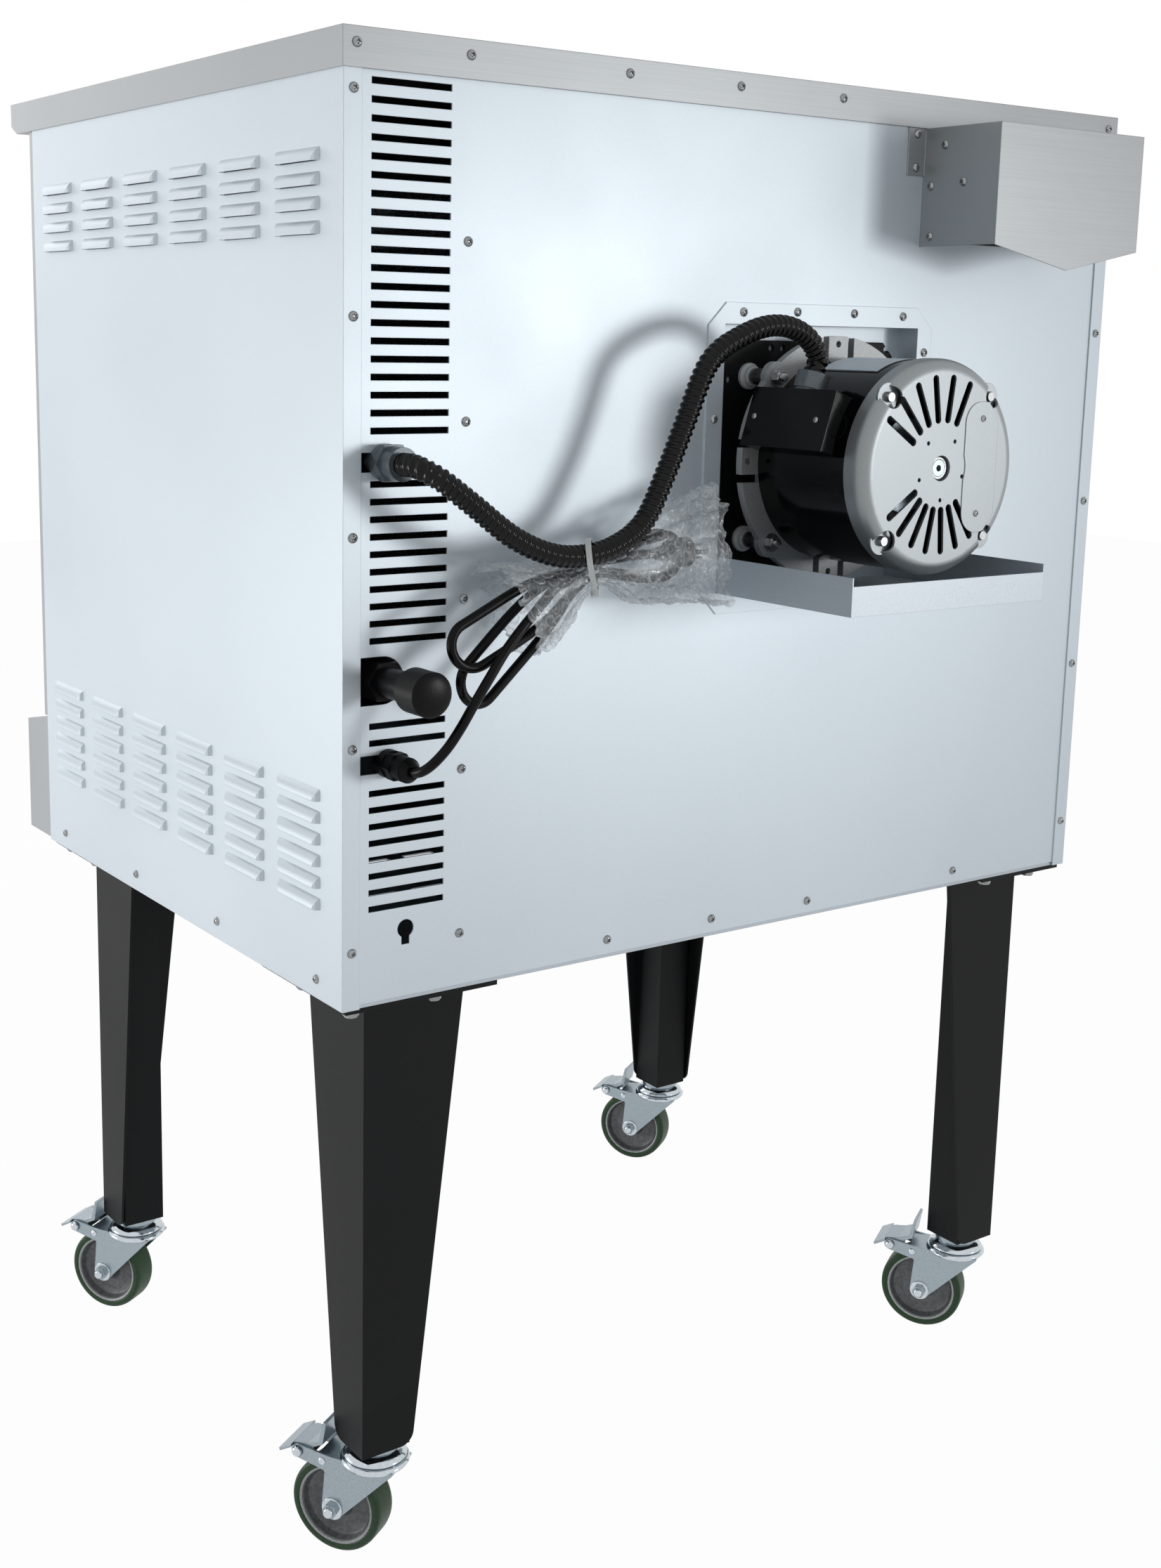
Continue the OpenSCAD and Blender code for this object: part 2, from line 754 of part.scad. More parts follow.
// Four studs with spacer bushings on the plate
module motor_standoffs() {
    color([0.85, 0.85, 0.83])
    for (p = mount_spots) {
        rod_y(p[0], p[1], plate_face, motor_y + 12, stud_r);
        rod_y(p[0], p[1], plate_face, plate_face + 16, 11);
        rod_y(p[0], p[1], plate_face + 16, motor_y - 8, 8);
        rod_y(p[0], p[1], motor_y, motor_y + 1.6, 9);
        translate([p[0], motor_y + 1.6, p[1]]) rotate([-90, 0, 0]) hex_head(12.5, 6.4);
    }
}

// Cast front bell: spoked face, rim, mounting ears and a bearing hub
module motor_flange() {
    rim = motor_r;
    y0 = motor_y - 8;
    color([0.68, 0.68, 0.67])
    difference() {
        union() {
            translate([motor_x, 0, motor_z]) upright(motor_y, 8) {
                difference() {
                    circle(flange_r);
                    for (turn = [0:90:270], side = [-1, 1]) {
                        rotate(turn) translate([rim - 4, side * 17 - 4]) square([40, 8]);
                    }
                }
                for (p = mount_spots) {
                    translate([p[0] - motor_x, p[1] - motor_z]) circle(15);
                }
            }
            rod_y(motor_x, motor_z, y0 - 6, motor_y, 30);
            for (a = [15:30:345]) {
                translate([motor_x, y0, motor_z]) rotate([0, a, 0]) span([24, -5, -2.5], [rim - 6, 2, 2.5]);
            }
        }
        for (a = [0:30:330]) {
            translate([motor_x, 0, motor_z]) rotate([0, a, 0])
                span([42, y0 - 7, -7], [rim - 16, motor_y + 1, 7]);
        }
        for (a = [0:90:270]) {
            translate([motor_x, 0, motor_z]) rotate([0, a, 0]) rod_y(rim + 13, 0, y0 - 1, motor_y + 1, 3.2, 24);
        }
        for (p = mount_spots) {
            rod_y(p[0], p[1], y0 - 1, motor_y + 1, stud_r + 0.5);
        }
        rod_y(motor_x, motor_z, y0 - 7, motor_y + 1, shaft_r + run_gap);
    }
}

// Rolled steel shell with the stator pack inside
module motor_shell() {
    color([0.05, 0.05, 0.05]) {
        difference() {
            rod_y(motor_x, motor_z, motor_y, shell_y1, motor_r, 96);
            rod_y(motor_x, motor_z, motor_y - 1, shell_y1 + 1, motor_r - 2.5, 96);
        }
        difference() {
            rod_y(motor_x, motor_z, motor_y + 25, shell_y1 - 17, motor_r - 2, 96);
            rod_y(motor_x, motor_z, motor_y + 24, shell_y1 - 16, motor_r * 0.465, 96);
        }
    }
}

// Slot with round ends in the bell's face, from radius a to radius b at an angle
module face_slot(angle, a, b, w) {
    rotate(angle) {
        translate([a, -w / 2]) square([b - a, w]);
        translate([a, 0]) circle(w / 2, $fn = 24);
        translate([b, 0]) circle(w / 2, $fn = 24);
    }
}

// Profile of the rear bell's wall, drawn in radius and height over the rim
module bell_wall(grow) {
    r = motor_r + 2 - grow;
    h = bell_y1 - bell_y0 - grow;
    corner = 13 - grow;
    square([r - corner, h]);
    square([r, h - corner]);
    translate([r - corner, h - corner]) circle(corner);
}

// Drawn rear bell: dished face with two fans of cooling slots, a bearing boss and a cover plate
module motor_rear_bell() {
    wall = 2.4;
    h = bell_y1 - bell_y0;
    color([0.78, 0.78, 0.77])
    translate([motor_x, bell_y0, motor_z]) rotate([-90, 0, 0]) {
        difference() {
            union() {
                difference() {
                    rotate_extrude($fn = 96) intersection() {
                        bell_wall(0);
                        square([200, h]);
                    }
                    translate([0, 0, -eps]) rotate_extrude($fn = 96) intersection() {
                        bell_wall(wall);
                        square([200, h]);
                    }
                    cylinder(h = 4.02, r = motor_r, center = true, $fn = 96);
                }
                cylinder(h = h - wall / 2, r = 17);
                for (s = [-1, 1], t = [-1, 1]) {
                    translate([s * 66.4, t * 66.4, h - 8 - wall]) cylinder(h = wall, r = 13);
                }
            }
            translate([0, 0, h - 9]) linear_extrude(20) {
                for (a = [-113:16:-33]) face_slot(a, 46, 84, 7.4);
                for (a = [34:15:124]) face_slot(a, 40, 78, 7.4);
            }
            for (s = [-1, 1], t = [-1, 1]) {
                translate([s * 66.4, t * 66.4, h - 8]) cylinder(h = 20, r = 10.5);
                translate([s * 66.4, t * 66.4, -1]) cylinder(h = 40, r = 2.6, $fn = 24);
            }
            cylinder(h = 100, r = shaft_r + run_gap, center = true);
            translate([0, 0, h - 5]) cylinder(h = 10, r = 12);
            for (a = [20:72:308]) {
                rotate(a) translate([30, 0, 0]) cylinder(h = 60, r = 2, $fn = 24);
            }
        }
        translate([0, 0, h]) linear_extrude(0.8) difference() {
            intersection() {
                translate([-52, 0]) rounded(44, 124, 20);
                circle(86);
            }
            circle(32);
        }
    }
}

// Junction box on the shell, seated on its curve, with a knockout in its rear wall
module terminal_box() {
    color([0.05, 0.05, 0.05])
    difference() {
        translate([motor_x, 0, motor_z]) rotate([0, -box_turn, 0]) translate([0, 0, box_shift]) difference() {
            union() {
                span([box_in, box_y0, -box_w / 2], [box_out - 1.5, box_y1, box_w / 2]);
                span([box_out - 1.5, box_y0 - 1, -box_w / 2 - 1], [box_out, box_y1 + 1, box_w / 2 + 1]);
            }
            span([box_in - 1, box_y0 + 2, -box_w / 2 + 2], [box_out - 1.5, box_y1 - 2, box_w / 2 - 2]);
            translate([box_mid + 4, box_y1 - 0.7, 0]) rotate([-90, 0, 0]) difference() {
                cylinder(h = 3, r = 12);
                translate([0, 0, -1]) cylinder(h = 5, r = 11);
            }
        }
        rod_y(motor_x, motor_z, box_y0 - 2, box_y1 + 4, motor_r, 96);
    }
}

// Tray under the motor: a folded channel that stands in the well
module motor_tray() {
    x0 = motor_x - tray_w / 2;
    x1 = motor_x + tray_w / 2;
    color([0.6, 0.6, 0.6])
    union() {
        difference() {
            span([x0, well_floor, tray_z + sheet], [x1, tray_reach, tray_z + sheet + 36]);
            span([x0 + sheet, well_floor - 1, tray_z + 2 * sheet], [x1 - sheet, tray_reach + 1, tray_z + 90]);
        }
        span([x0, tray_reach - sheet, tray_z + sheet], [x1, tray_reach, tray_z + sheet + 28]);
    }
}

// Point of a smooth curve between b and c, with neighbours a and d
function curve(a, b, c, d, t) = 0.5 * (2 * b + (c - a) * t + (2 * a - 5 * b + 4 * c - d) * t * t
    + (3 * b - a - 3 * c + d) * t * t * t);
function smooth(p, n) = [
    for (i = [0:len(p) - 2], k = [0:n - 1])
        curve(p[max(i - 1, 0)], p[i], p[i + 1], p[min(i + 2, len(p) - 1)], k / n),
    p[len(p) - 1]];
function runs(p) = [for (i = 0, s = 0; i < len(p); s = s + (i + 1 < len(p) ? norm(p[i + 1] - p[i]) : 0), i = i + 1) s];
function axis_table(p, s, a) = [for (i = [0:len(p) - 1]) [s[i], p[i][a]]];
function resample(p, count) = let (s = runs(p), full = s[len(s) - 1],
    tx = axis_table(p, s, 0), ty = axis_table(p, s, 1), tz = axis_table(p, s, 2))
    [for (k = [0:count]) let (q = full * k / count) [lookup(q, tx), lookup(q, ty), lookup(q, tz)]];
function unit(v) = v / norm(v);
function heading(p, i) = unit(p[min(i + 1, len(p) - 1)] - p[max(i - 1, 0)]);
function across(v, t) = unit(v - (v * t) * t);
function sides_of(p, start) = [for (i = 0, v = across(start, heading(p, 0)); i < len(p);
    i = i + 1, v = i < len(p) ? across(v, heading(p, i)) : v) v];
function ring(c, v, w, r, n) = [for (k = [0:n - 1]) c + r * (cos(360 * k / n) * v + sin(360 * k / n) * w)];
function tube_points(p, radii, n, start) = let (v = sides_of(p, start))
    [for (i = [0:len(p) - 1]) each ring(p[i], v[i], cross(heading(p, i), v[i]), radii[i], n)];
function skin(rings, n, first, flip) = [
    for (i = [0:rings - 2], k = [0:n - 1]) let (a = first + i * n + k, b = first + i * n + (k + 1) % n)
        each (flip ? [[a, b, a + n], [b, b + n, a + n]] : [[a, a + n, b], [b, a + n, b + n]])];

// Solid tube along a path, with its own radius at each ring
module tube(p, radii, n, start) {
    last = (len(p) - 1) * n;
    polyhedron(tube_points(p, radii, n, start), concat(skin(len(p), n, 0, false),
        [[for (k = [0:n - 1]) k]], [[for (k = [n - 1:-1:0]) last + k]]));
}

// Open tube along a path, with a bore along a path of its own between the same ends
module hose(p, radii, q, bore, n, start) {
    inner = len(p) * n;
    last = inner - n;
    far = inner + (len(q) - 1) * n;
    polyhedron(concat(tube_points(p, radii, n, start), tube_points(q, [for (c = q) bore], n, start)),
        concat(skin(len(p), n, 0, false), skin(len(q), n, inner, true),
            [for (k = [0:n - 1]) let (j = (k + 1) % n) each [[k, j, inner + k], [j, inner + j, inner + k]]],
            [for (k = [0:n - 1]) let (j = (k + 1) % n)
                each [[last + k, far + k, last + j], [last + j, far + k, far + j]]]));
}

box_n = [cos(box_turn), 0, sin(box_turn)];
box_t = [-sin(box_turn), 0, cos(box_turn)];
motor_c = [motor_x, 0, motor_z];
fitting_y = 79;
fitting_len = 20;
fitting_base = motor_c + box_mid * box_n + (box_shift + box_w / 2) * box_t + [0, fitting_y, 0];
fitting_top = fitting_base + fitting_len * box_t;
socket_y = 30;

conduit_route = [[conduit_x, socket_y, conduit_z], [conduit_x, socket_y + 8, conduit_z],
    [conduit_x, socket_y + 16, conduit_z], [439, 57, 487], [426, 66, 478], [400, 72, 458], [361, 77, 429],
    [323, 79, 413], [288, 80, 410], [253, 80, 417], [219, 77, 437], [192, 74, 482], [173, 74, 524],
    [154, 76, 570], [138, 77, 589], [119, 78, 600], [97, 79, 609], [76, 79, 613], [56, 79, 612],
    [38, 79, 606], [25, 79, 596], fitting_top + 14 * box_t, fitting_top + 7 * box_t, fitting_top];
conduit_path = smooth(conduit_route, 10);
conduit_len = runs(conduit_path)[len(conduit_path) - 1];
rib_count = round(conduit_len / rib_pitch);
conduit_rings = resample(conduit_path, 2 * rib_count);
conduit_bore = resample(conduit_path, rib_count);

// Ribbed conduit: crest and root rings by turns, round an open bore
module conduit() {
    color([0.06, 0.06, 0.06])
    hose(conduit_rings, [for (i = [0:2 * rib_count]) i % 2 == 0 ? conduit_d / 2 - 1.5 : conduit_d / 2],
        conduit_bore, conduit_d / 2 - 3, 8, [0, 0, 1]);
}

// Screwed fittings at the panel and on the junction box
module conduit_fittings() {
    r = conduit_d / 2;
    color([0.5, 0.53, 0.55]) {
        rod_y(conduit_x, conduit_z, -sheet, 5, r + 6);
        rod_y(conduit_x, conduit_z, 5, 14, r + 8, 6);
        rod_y(conduit_x, conduit_z, 14, socket_y, r + 4.5);
        rod_y(conduit_x, conduit_z, -14, -sheet, 7.5);
        rod_y(conduit_x, conduit_z, -11, -2 * sheet, r + 5, 6);
        translate(fitting_base) rotate([0, -box_turn, 0]) {
            cylinder(h = 4, r = r + 4);
            translate([0, 0, 4]) cylinder(h = fitting_len - 4, r = r + 5.5);
        }
    }
}

// Strain relief of the power cord, seated in its notch
module cord_gland() {
    color([0.07, 0.07, 0.07])
    difference() {
        union() {
            rod_y(gland_x, cord_z, -sheet, 8, 13);
            rod_y(gland_x, cord_z, 8, 20, 13.5, 6);
            rod_y(gland_x, cord_z, 20, 34, 11.5);
            rod_y(gland_x, cord_z, -16, -sheet, 7);
            rod_y(gland_x, cord_z, -10, -2 * sheet, 12.5, 6);
            translate([gland_x, 34, cord_z]) rotate([-90, 0, 0]) cylinder(h = 8, r1 = 11, r2 = 7);
        }
        rod_y(gland_x, cord_z, 30, 43, cord_d / 2 + 0.2);
    }
}

wrap_waist = [266, 55, 398];
hank_turn = -34.5;
hank_swing = 8;
hank_reach = 162.5;
hank_stagger = 3.5;
hank_behind = 100;
hank_rise = 4;
hank_fold = 20;
hank_spread = 2;
hank_pinch = 5.3;
hank_draw = 45;
hank_round = 16;
hank_layer = 10.2;
hank_front = 67;

// Place on one turn of the hank, along its line and across it: in through the waist, round the far
// fold, out again and round the fold at the mouth, whose reach and width change from turn to turn
function swing(t) = cos(180 * (t - 5 / 6));
function fold_at(t) = hank_fold + hank_spread * swing(t);
function track(t) = let (q = 4 * (t - floor(t)), r = fold_at(t), far = hank_reach - hank_stagger * swing(t) - r,
        near = hank_behind - r)
    q < 1 ? [far - q * (far + near), r]
    : q < 2 ? let (a = 180 * (q - 1)) [-near - r * sin(a), r * cos(a)]
    : q < 3 ? [-near + (q - 2) * (far + near), -r]
    : let (a = 180 * (q - 3)) [far + r * sin(a), -r * cos(a)];

// The turn's line bends at the waist, where its two runs are drawn together
function hank_point(t) = let (p = track(t), a = hank_turn + hank_swing * swing(t),
        root = sqrt(p[0] * p[0] + hank_round * hank_round), out = (root + p[0]) / 2, back = (root - p[0]) / 2,
        way = unit(out * [cos(a), sin(a)] + back * [cos(hank_rise), -sin(hank_rise)]),
        w = p[1] * (1 - (1 - hank_pinch / fold_at(t)) * exp(-pow(p[0] / hank_draw, 2))))
    [wrap_waist[0] + out * cos(a) - back * cos(hank_rise) - w * way[1], hank_front - hank_layer * t,
        wrap_waist[2] + out * sin(a) + back * sin(hank_rise) + w * way[0]];
hank_coil = [for (k = [3:52]) hank_point(k / 24)];
hank_tail = [[243, 44, 400], [226, 41, 400], [208, 39, 401], [190, 38, 402], [172, 38, 402]];
hank_path = concat(hank_coil, hank_tail);
plug_at = hank_path[len(hank_path) - 1];

hank_gap = min([for (i = [0:len(hank_path) - 1], j = [i + 8:1:len(hank_path) - 1])
    norm(hank_path[i] - hank_path[j])]) - cord_d;
echo(hank_gap = hank_gap);
echo(hank_length = runs(hank_path)[len(hank_path) - 1]);
echo(conduit_length = conduit_len);

cord_route = [[gland_x, 32, cord_z], [gland_x, 40, cord_z], [gland_x, 49, cord_z + 1], [436, 58, 229],
    [430, 65, 237], [420, 70, 250], [408, 72, 267], [395, 72, 286], [380, 72, 307], [364, 71, 328],
    [347, 70, 346], [330, 68, 361], hank_path[0] - 12 * unit(hank_path[1] - hank_path[0]), hank_path[0]];
cord_path = smooth(cord_route, 4);
echo(cord_length = runs(cord_path)[len(cord_path) - 1]);

module power_cord() {
    color([0.05, 0.05, 0.05])
    tube(cord_path, [for (q = cord_path) cord_d / 2], 8, [0, 0, 1]);
}

module cord_hank() {
    color([0.05, 0.05, 0.05])
    tube(hank_path, [for (q = hank_path) cord_d / 2], 6, [0, 1, 0]);
}

// Moulded plug with three pins
module plug() {
    color([0.06, 0.06, 0.06])
    translate(plug_at) rotate([0, -90, 0]) {
        cylinder(h = 16, r1 = 6, r2 = 9);
        translate([0, 0, 16]) cylinder(h = 20, r = 14);
        for (x = [-6.3, 6.3]) {
            translate([x - 0.75, -5, 36]) cube([1.5, 6.3, 18]);
        }
        translate([0, 6, 36]) cylinder(h = 20, r = 2.4, $fn = 24);
    }
}

// Stations of the film wrap: its top and bottom edge in x and z, its middle in y and its half depth
wrap_stations = [[[374, 404], [320, 317], 43, 34], [[352, 404], [304, 323], 43, 34],
    [[320, 402], [288, 340], 46, 30], [[296, 402], [276, 361], 51, 24], [[270, 409], [257, 379], 55, 17.8],
    [[243, 412], [240, 376], 53, 20], [[212, 432], [208, 358], 51, 26], [[170, 452], [165, 355], 48, 29],
    [[135, 462], [128, 352], 46, 30], [[114, 468], [96, 345], 45, 30]];
function boxy(v) = sign(v) * pow(abs(v), 0.7);
function wrap_ring(s, thin) = let (mid = (s[0] + s[1]) / 2, half = norm(s[0] - s[1]) / 2, up = unit(s[0] - s[1]))
    [for (k = [0:15]) let (h = (half - thin) * boxy(cos(k * 22.5)))
        [mid[0] + h * up[0], s[2] + (s[3] - thin) * boxy(sin(k * 22.5)), mid[1] + h * up[1]]];

// Film wrapped round the coiled cord: two flares and a waist, open at the cord's end
module plug_wrap() {
    count = len(wrap_stations);
    last = (count - 1) * 16;
    inner = count * 16;
    end_in = inner + last;
    shift = [2, 0, 0];
    points = concat([for (s = wrap_stations) each wrap_ring(s, 0)], [for (s = wrap_stations) each wrap_ring(s, 1.5)]);
    shown = [for (i = [0:len(points) - 1]) i >= end_in ? points[i] + shift : points[i]];
    color([0.85, 0.87, 0.88])
    polyhedron(shown, concat(skin(count, 16, 0, false), skin(count, 16, inner, true),
        [for (k = [0:15]) let (j = (k + 1) % 16) each [[k, j, inner + k], [j, inner + j, inner + k]]],
        [[for (k = [15:-1:0]) last + k]], [[for (k = [0:15]) end_in + k]]));
}

// All screw heads and bolts
module panel_screws() {
    color([0.8, 0.8, 0.8]) {
        for (x = lid_spots) rear_screw(x, body_h - 13, sheet);
        for (z = corner_spots) rear_screw(corner_x, z, 0);
        for (z = far_spots) rear_screw(-(hw - 9), z, 0);
        for (z = mid_spots) rear_screw(360, z, -sheet);
        for (p = bottom_spots) rear_screw(p[0], p[1], -sheet);
        for (p = frame_spots) rear_screw(motor_x + p[0], motor_z + p[1], 0);
        for (p = hood_spots) rear_screw(hood_x + hood_w / 2 + hood_ear / 2, hood_z + hood_h - 9 + p[1], 0);
        for (p = hood_plate_spots) {
            translate([hood_x + hood_w / 2, p[0], hood_z + hood_h - p[1]]) rotate([0, 90, 0]) pan_head();
        }
        for (y = side_spots, s = [-1, 1]) {
            translate([s * hw, y, 18]) rotate([0, s * 90, 0]) pan_head();
        }
        for (s = [-1, 1], t = [-1, 1]) {
            translate([motor_x + s * 66.4, bell_y1 - 8, motor_z + t * 66.4]) rotate([-90, 0, 0]) hex_head(9, 5);
        }
        for (y = [box_y0 + 9, box_y1 - 16]) {
            translate([motor_x, y, motor_z]) rotate([0, -box_turn, 0]) translate([box_out, 0, box_shift])
                rotate([0, 90, 0]) pan_head(6);
        }
        for (i = [0:3], q = leg_bolts[i]) {
            p = leg_spots[i];
            translate([p[0] + p[2] * q[0], p[1] + p[3] * q[1], -leg_plate_t - 5.5]) hex_head(13, 5.5);
        }
    }
}

leg_plates = [[52, 112, 52, 112], [52, 112, 1, 112], [12, 112, 1, 112], [15, 112, 52, 112]];
leg_bolts = [
    [[41, 42], [-47, 42], [41, -47]],
    [[41, -25], [41, -98], [-75, -25]],
    [[-98, -25], [-25, -98], [-98, -98]],
    [[-25, 42], [-98, 42], [-75, -75]]];
leg_plate_t = 5;

// One tapered flange of a leg, drawn from its outer corner inward, with a rounded foot
module leg_flange(thick) {
    drop = leg_plate_t;
    tip = leg_foot_w - 15;
    linear_extrude(thick) {
        polygon([[0, -drop], [leg_top_w, -drop], [leg_foot_w, leg_foot_z + 15], [tip, leg_foot_z],
            [0, leg_foot_z]]);
        translate([tip, leg_foot_z + 15]) circle(15);
    }
}

// A leg: mounting plate, tapered angle wrap and the square tube that carries the caster
module leg(p, pl) {
    half = leg_tube / 2;
    translate([p[0], p[1], 0]) mirror([p[2] < 0 ? 1 : 0, 0, 0]) mirror([0, p[3] < 0 ? 1 : 0, 0]) {
        difference() {
            span([-pl[1], -pl[3], -leg_plate_t], [pl[0], pl[2], 0]);
            span([-leg_t - leg_tube + 3, -leg_t - leg_tube + 3, -9], [-leg_t - 3, -leg_t - 3, 1]);
        }
        mirror([1, 0, 0]) rotate([90, 0, 0]) leg_flange(leg_t);
        rotate([0, 0, -90]) rotate([90, 0, 0]) mirror([0, 0, 1]) leg_flange(leg_t);
        difference() {
            span([-leg_t - leg_tube, -leg_t - leg_tube, leg_foot_z], [-leg_t, -leg_t, -leg_plate_t]);
            span([-leg_t - leg_tube + 3, -leg_t - leg_tube + 3, leg_foot_z + 6], [-leg_t - 3, -leg_t - 3, 1]);
        }
    }
}

module legs() {
    color([0.07, 0.07, 0.07])
    for (i = [0:3]) leg(leg_spots[i], leg_plates[i]);
}

function caster_at(i) = let (p = leg_spots[i], d = leg_t + leg_tube / 2) [p[0] - p[2] * d, p[1] - p[3] * d, 0];
module at_caster(i) {
    translate(caster_at(i)) rotate([0, 0, caster_turn]) children();
}

king_r = 6;
crown_z = plate_z - 2.5;
ring_top = plate_z + 4;

// Swivel heads: kingpin, upper raceway cup and mounting flange
module caster_stems() {
    color([0.78, 0.79, 0.8])
    for (i = [0:3]) translate(caster_at(i)) {
        rod_z(0, 0, crown_z - 4, leg_foot_z, king_r);
        rod_z(0, 0, crown_z - 4, crown_z - 0.4, 10);
        rod_z(0, 0, leg_foot_z - 5, leg_foot_z, 25);
        translate([0, 0, ring_top + 0.4])
            cylinder(h = leg_foot_z - 5 - ring_top - 0.4, r1 = 31, r2 = 22);
    }
}

// Side outline of a fork cheek: crown edge, brake arm and the round end at the axle
module cheek() {
    polygon([[-30, plate_z], [56, plate_z], [46, plate_z - 18], [caster_trail + 12, axle_z + 2],
        [caster_trail - 10, axle_z - 6], [-15, plate_z - 18], [-30, plate_z - 2.5]]);
    translate([caster_trail, axle_z]) circle(12);
    polygon([[40, plate_z], [pedal_u, pedal_z + 7], [pedal_u, pedal_z - 7], [44, plate_z - 17]]);
    translate([pedal_u, pedal_z]) circle(7);
}

// Swivel fork: crown with its lower raceway, two cheeks, axle bolt and brake pin
module caster_fork(i) {
    color([0.78, 0.79, 0.8]) at_caster(i) {
        difference() {
            union() {
                rod_z(0, 0, crown_z, plate_z, 33);
                span([-30, -cheek_in, crown_z], [54, cheek_in, plate_z]);
                rod_z(0, 0, plate_z, ring_top, 32);
            }
            rod_z(0, 0, crown_z - 1, ring_top + 1, king_r + run_gap);
            rod_z(0, 0, plate_z + 1.5, ring_top + 1, 24);
        }
        for (s = [-1, 1]) {
            upright(s > 0 ? cheek_in + cheek_t : -cheek_in, cheek_t) cheek();
            rod_y(caster_trail, axle_z, s > 0 ? cheek_in + cheek_t : -cheek_in - cheek_t - 7,
                s > 0 ? cheek_in + cheek_t + 7 : -cheek_in - cheek_t, 8, 6);
        }
        rod_y(caster_trail, axle_z, -cheek_in - 1, cheek_in + 1, 5);
        rod_y(pedal_u, pedal_z, -cheek_in - cheek_t - 2, cheek_in + cheek_t + 2, pin_r);
    }
}

module caster_wheel(i) {
    r = caster_d / 2;
    w = caster_w / 2;
    color([0.2, 0.33, 0.2]) at_caster(i) translate([caster_trail, 0, axle_z]) rotate([90, 0, 0])
        rotate_extrude($fn = 96) difference() {
            union() {
                translate([r - 10, -w + 2]) square([10, 2 * w - 4]);
                translate([r - 10, -w]) square([8, 2 * w]);
                for (s = [-1, 1]) translate([r - 2, s * (w - 2)]) circle(2, $fn = 32);
                translate([12, -4]) square([r - 20, 8]);
                translate([0, -cheek_in + 0.4]) square([13, 2 * cheek_in - 0.8]);
            }
            translate([-1, -w - 9]) square([6 + run_gap, 2 * w + 18]);
        }
}

// Brake lever: a folded pedal with a toe plate and a raised release flap
module caster_brake(i) {
    half = cheek_in - 0.5;
    color([0.75, 0.76, 0.77]) at_caster(i) {
        difference() {
            union() {
                upright(half, 2 * half)
                    polygon([[62, pedal_z - 2], [60, pedal_z + 7], [50, pedal_z + 12], [46, pedal_z + 36],
                        [49, pedal_z + 37], [54, pedal_z + 15], [66, pedal_z + 10], [84, pedal_z + 7],
                        [84, pedal_z + 3], [pedal_u + 4, pedal_z - 6], [pedal_u - 6, pedal_z - 5]]);
                upright(half + 6, 2 * half + 12) polygon([[83, pedal_z + 7.2], [83, pedal_z + 4],
                    [96, pedal_z - 3], [97, pedal_z]]);
            }
            rod_y(pedal_u, pedal_z, -30, 30, pin_r + run_gap);
        }
    }
}

// Door plan with rounded front corners, between x0 and x1
module door_plan(x0, x1) {
    r = 6;
    translate([x0, door_y1 + r]) square([x1 - x0, door_t - r]);
    translate([x0 + r, door_y1]) square([x1 - x0 - 2 * r, door_t]);
    for (x = [x0 + r, x1 - r]) translate([x, door_y1 + r]) circle(r);
}

function door_span(left) = left ? [door_x0, door_mid - door_gap / 2] : [door_mid + door_gap / 2, door_x1];
window_h = cavity_h - 170;
window_z = cavity_z + cavity_h / 2;
window_w = door_zone_w / 2 - 170;

// Door shell with its window opening and its pins at the outer edge
module door(left) {
    x = door_span(left);
    xc = (x[0] + x[1]) / 2;
    pin_x = left ? x[0] + hinge_in : x[1] - hinge_in;
    color([0.77, 0.76, 0.75])
    difference() {
        union() {
            translate([0, 0, door_z0]) linear_extrude(door_z1 - door_z0) door_plan(x[0], x[1]);
            rod_z(pin_x, hinge_y, door_z0 - 7, door_z1 + 5, hinge_d / 2);
        }
        span([xc - window_w / 2, door_y1 - 1, window_z - window_h / 2],
            [xc + window_w / 2, door_y0 + 1, window_z + window_h / 2]);
    }
}

// Two panes with a spacer bar at each side, set into the window opening
module door_window(left) {
    x = door_span(left);
    xc = (x[0] + x[1]) / 2;
    color([0.15, 0.18, 0.2])
    translate([xc, 0, window_z]) {
        upright(door_y1 + 8, 6) square([window_w, window_h], center = true);
        upright(door_y0 - 2, 6) square([window_w, window_h], center = true);
        for (s = [-1, 1]) {
            translate([s * (window_w / 2 - 5), 0]) upright(door_y0 - 8, door_t - 16) square([10, window_h], center = true);
        }
    }
}

handle_r = 11;
handle_l = 420;

// Bowed tube handle on two round standoffs
module door_handle(left) {
    x = door_span(left);
    hx = left ? x[1] - 38 : x[0] + 38;
    hy = handle_y + handle_r;
    color([0.12, 0.12, 0.12]) {
        rod_z(hx, hy, window_z - handle_l / 2, window_z + handle_l / 2, handle_r);
        for (s = [-1, 1]) {
            translate([hx, hy, window_z + s * handle_l / 2]) sphere(handle_r);
            rod_y(hx, window_z + s * (handle_l / 2 - 40), hy, door_y1, 8);
            rod_y(hx, window_z + s * (handle_l / 2 - 40), door_y1 - 4, door_y1, 14);
        }
    }
}

wheel_y1 = cav_y - 5;
wheel_y0 = baffle_y + 11;
blade_in = wheel_d / 2 - 34;

// Forward-curved blade: the crescent between two circles
module blade() {
    r = wheel_d / 2 - 1;
    intersection() {
        difference() {
            translate([r - 14, 17]) circle(26);
            translate([r - 12.4, 18.6]) circle(25.4);
        }
        translate([blade_in, -12]) square([34, 26]);
        circle(r, $fn = 96);
    }
}

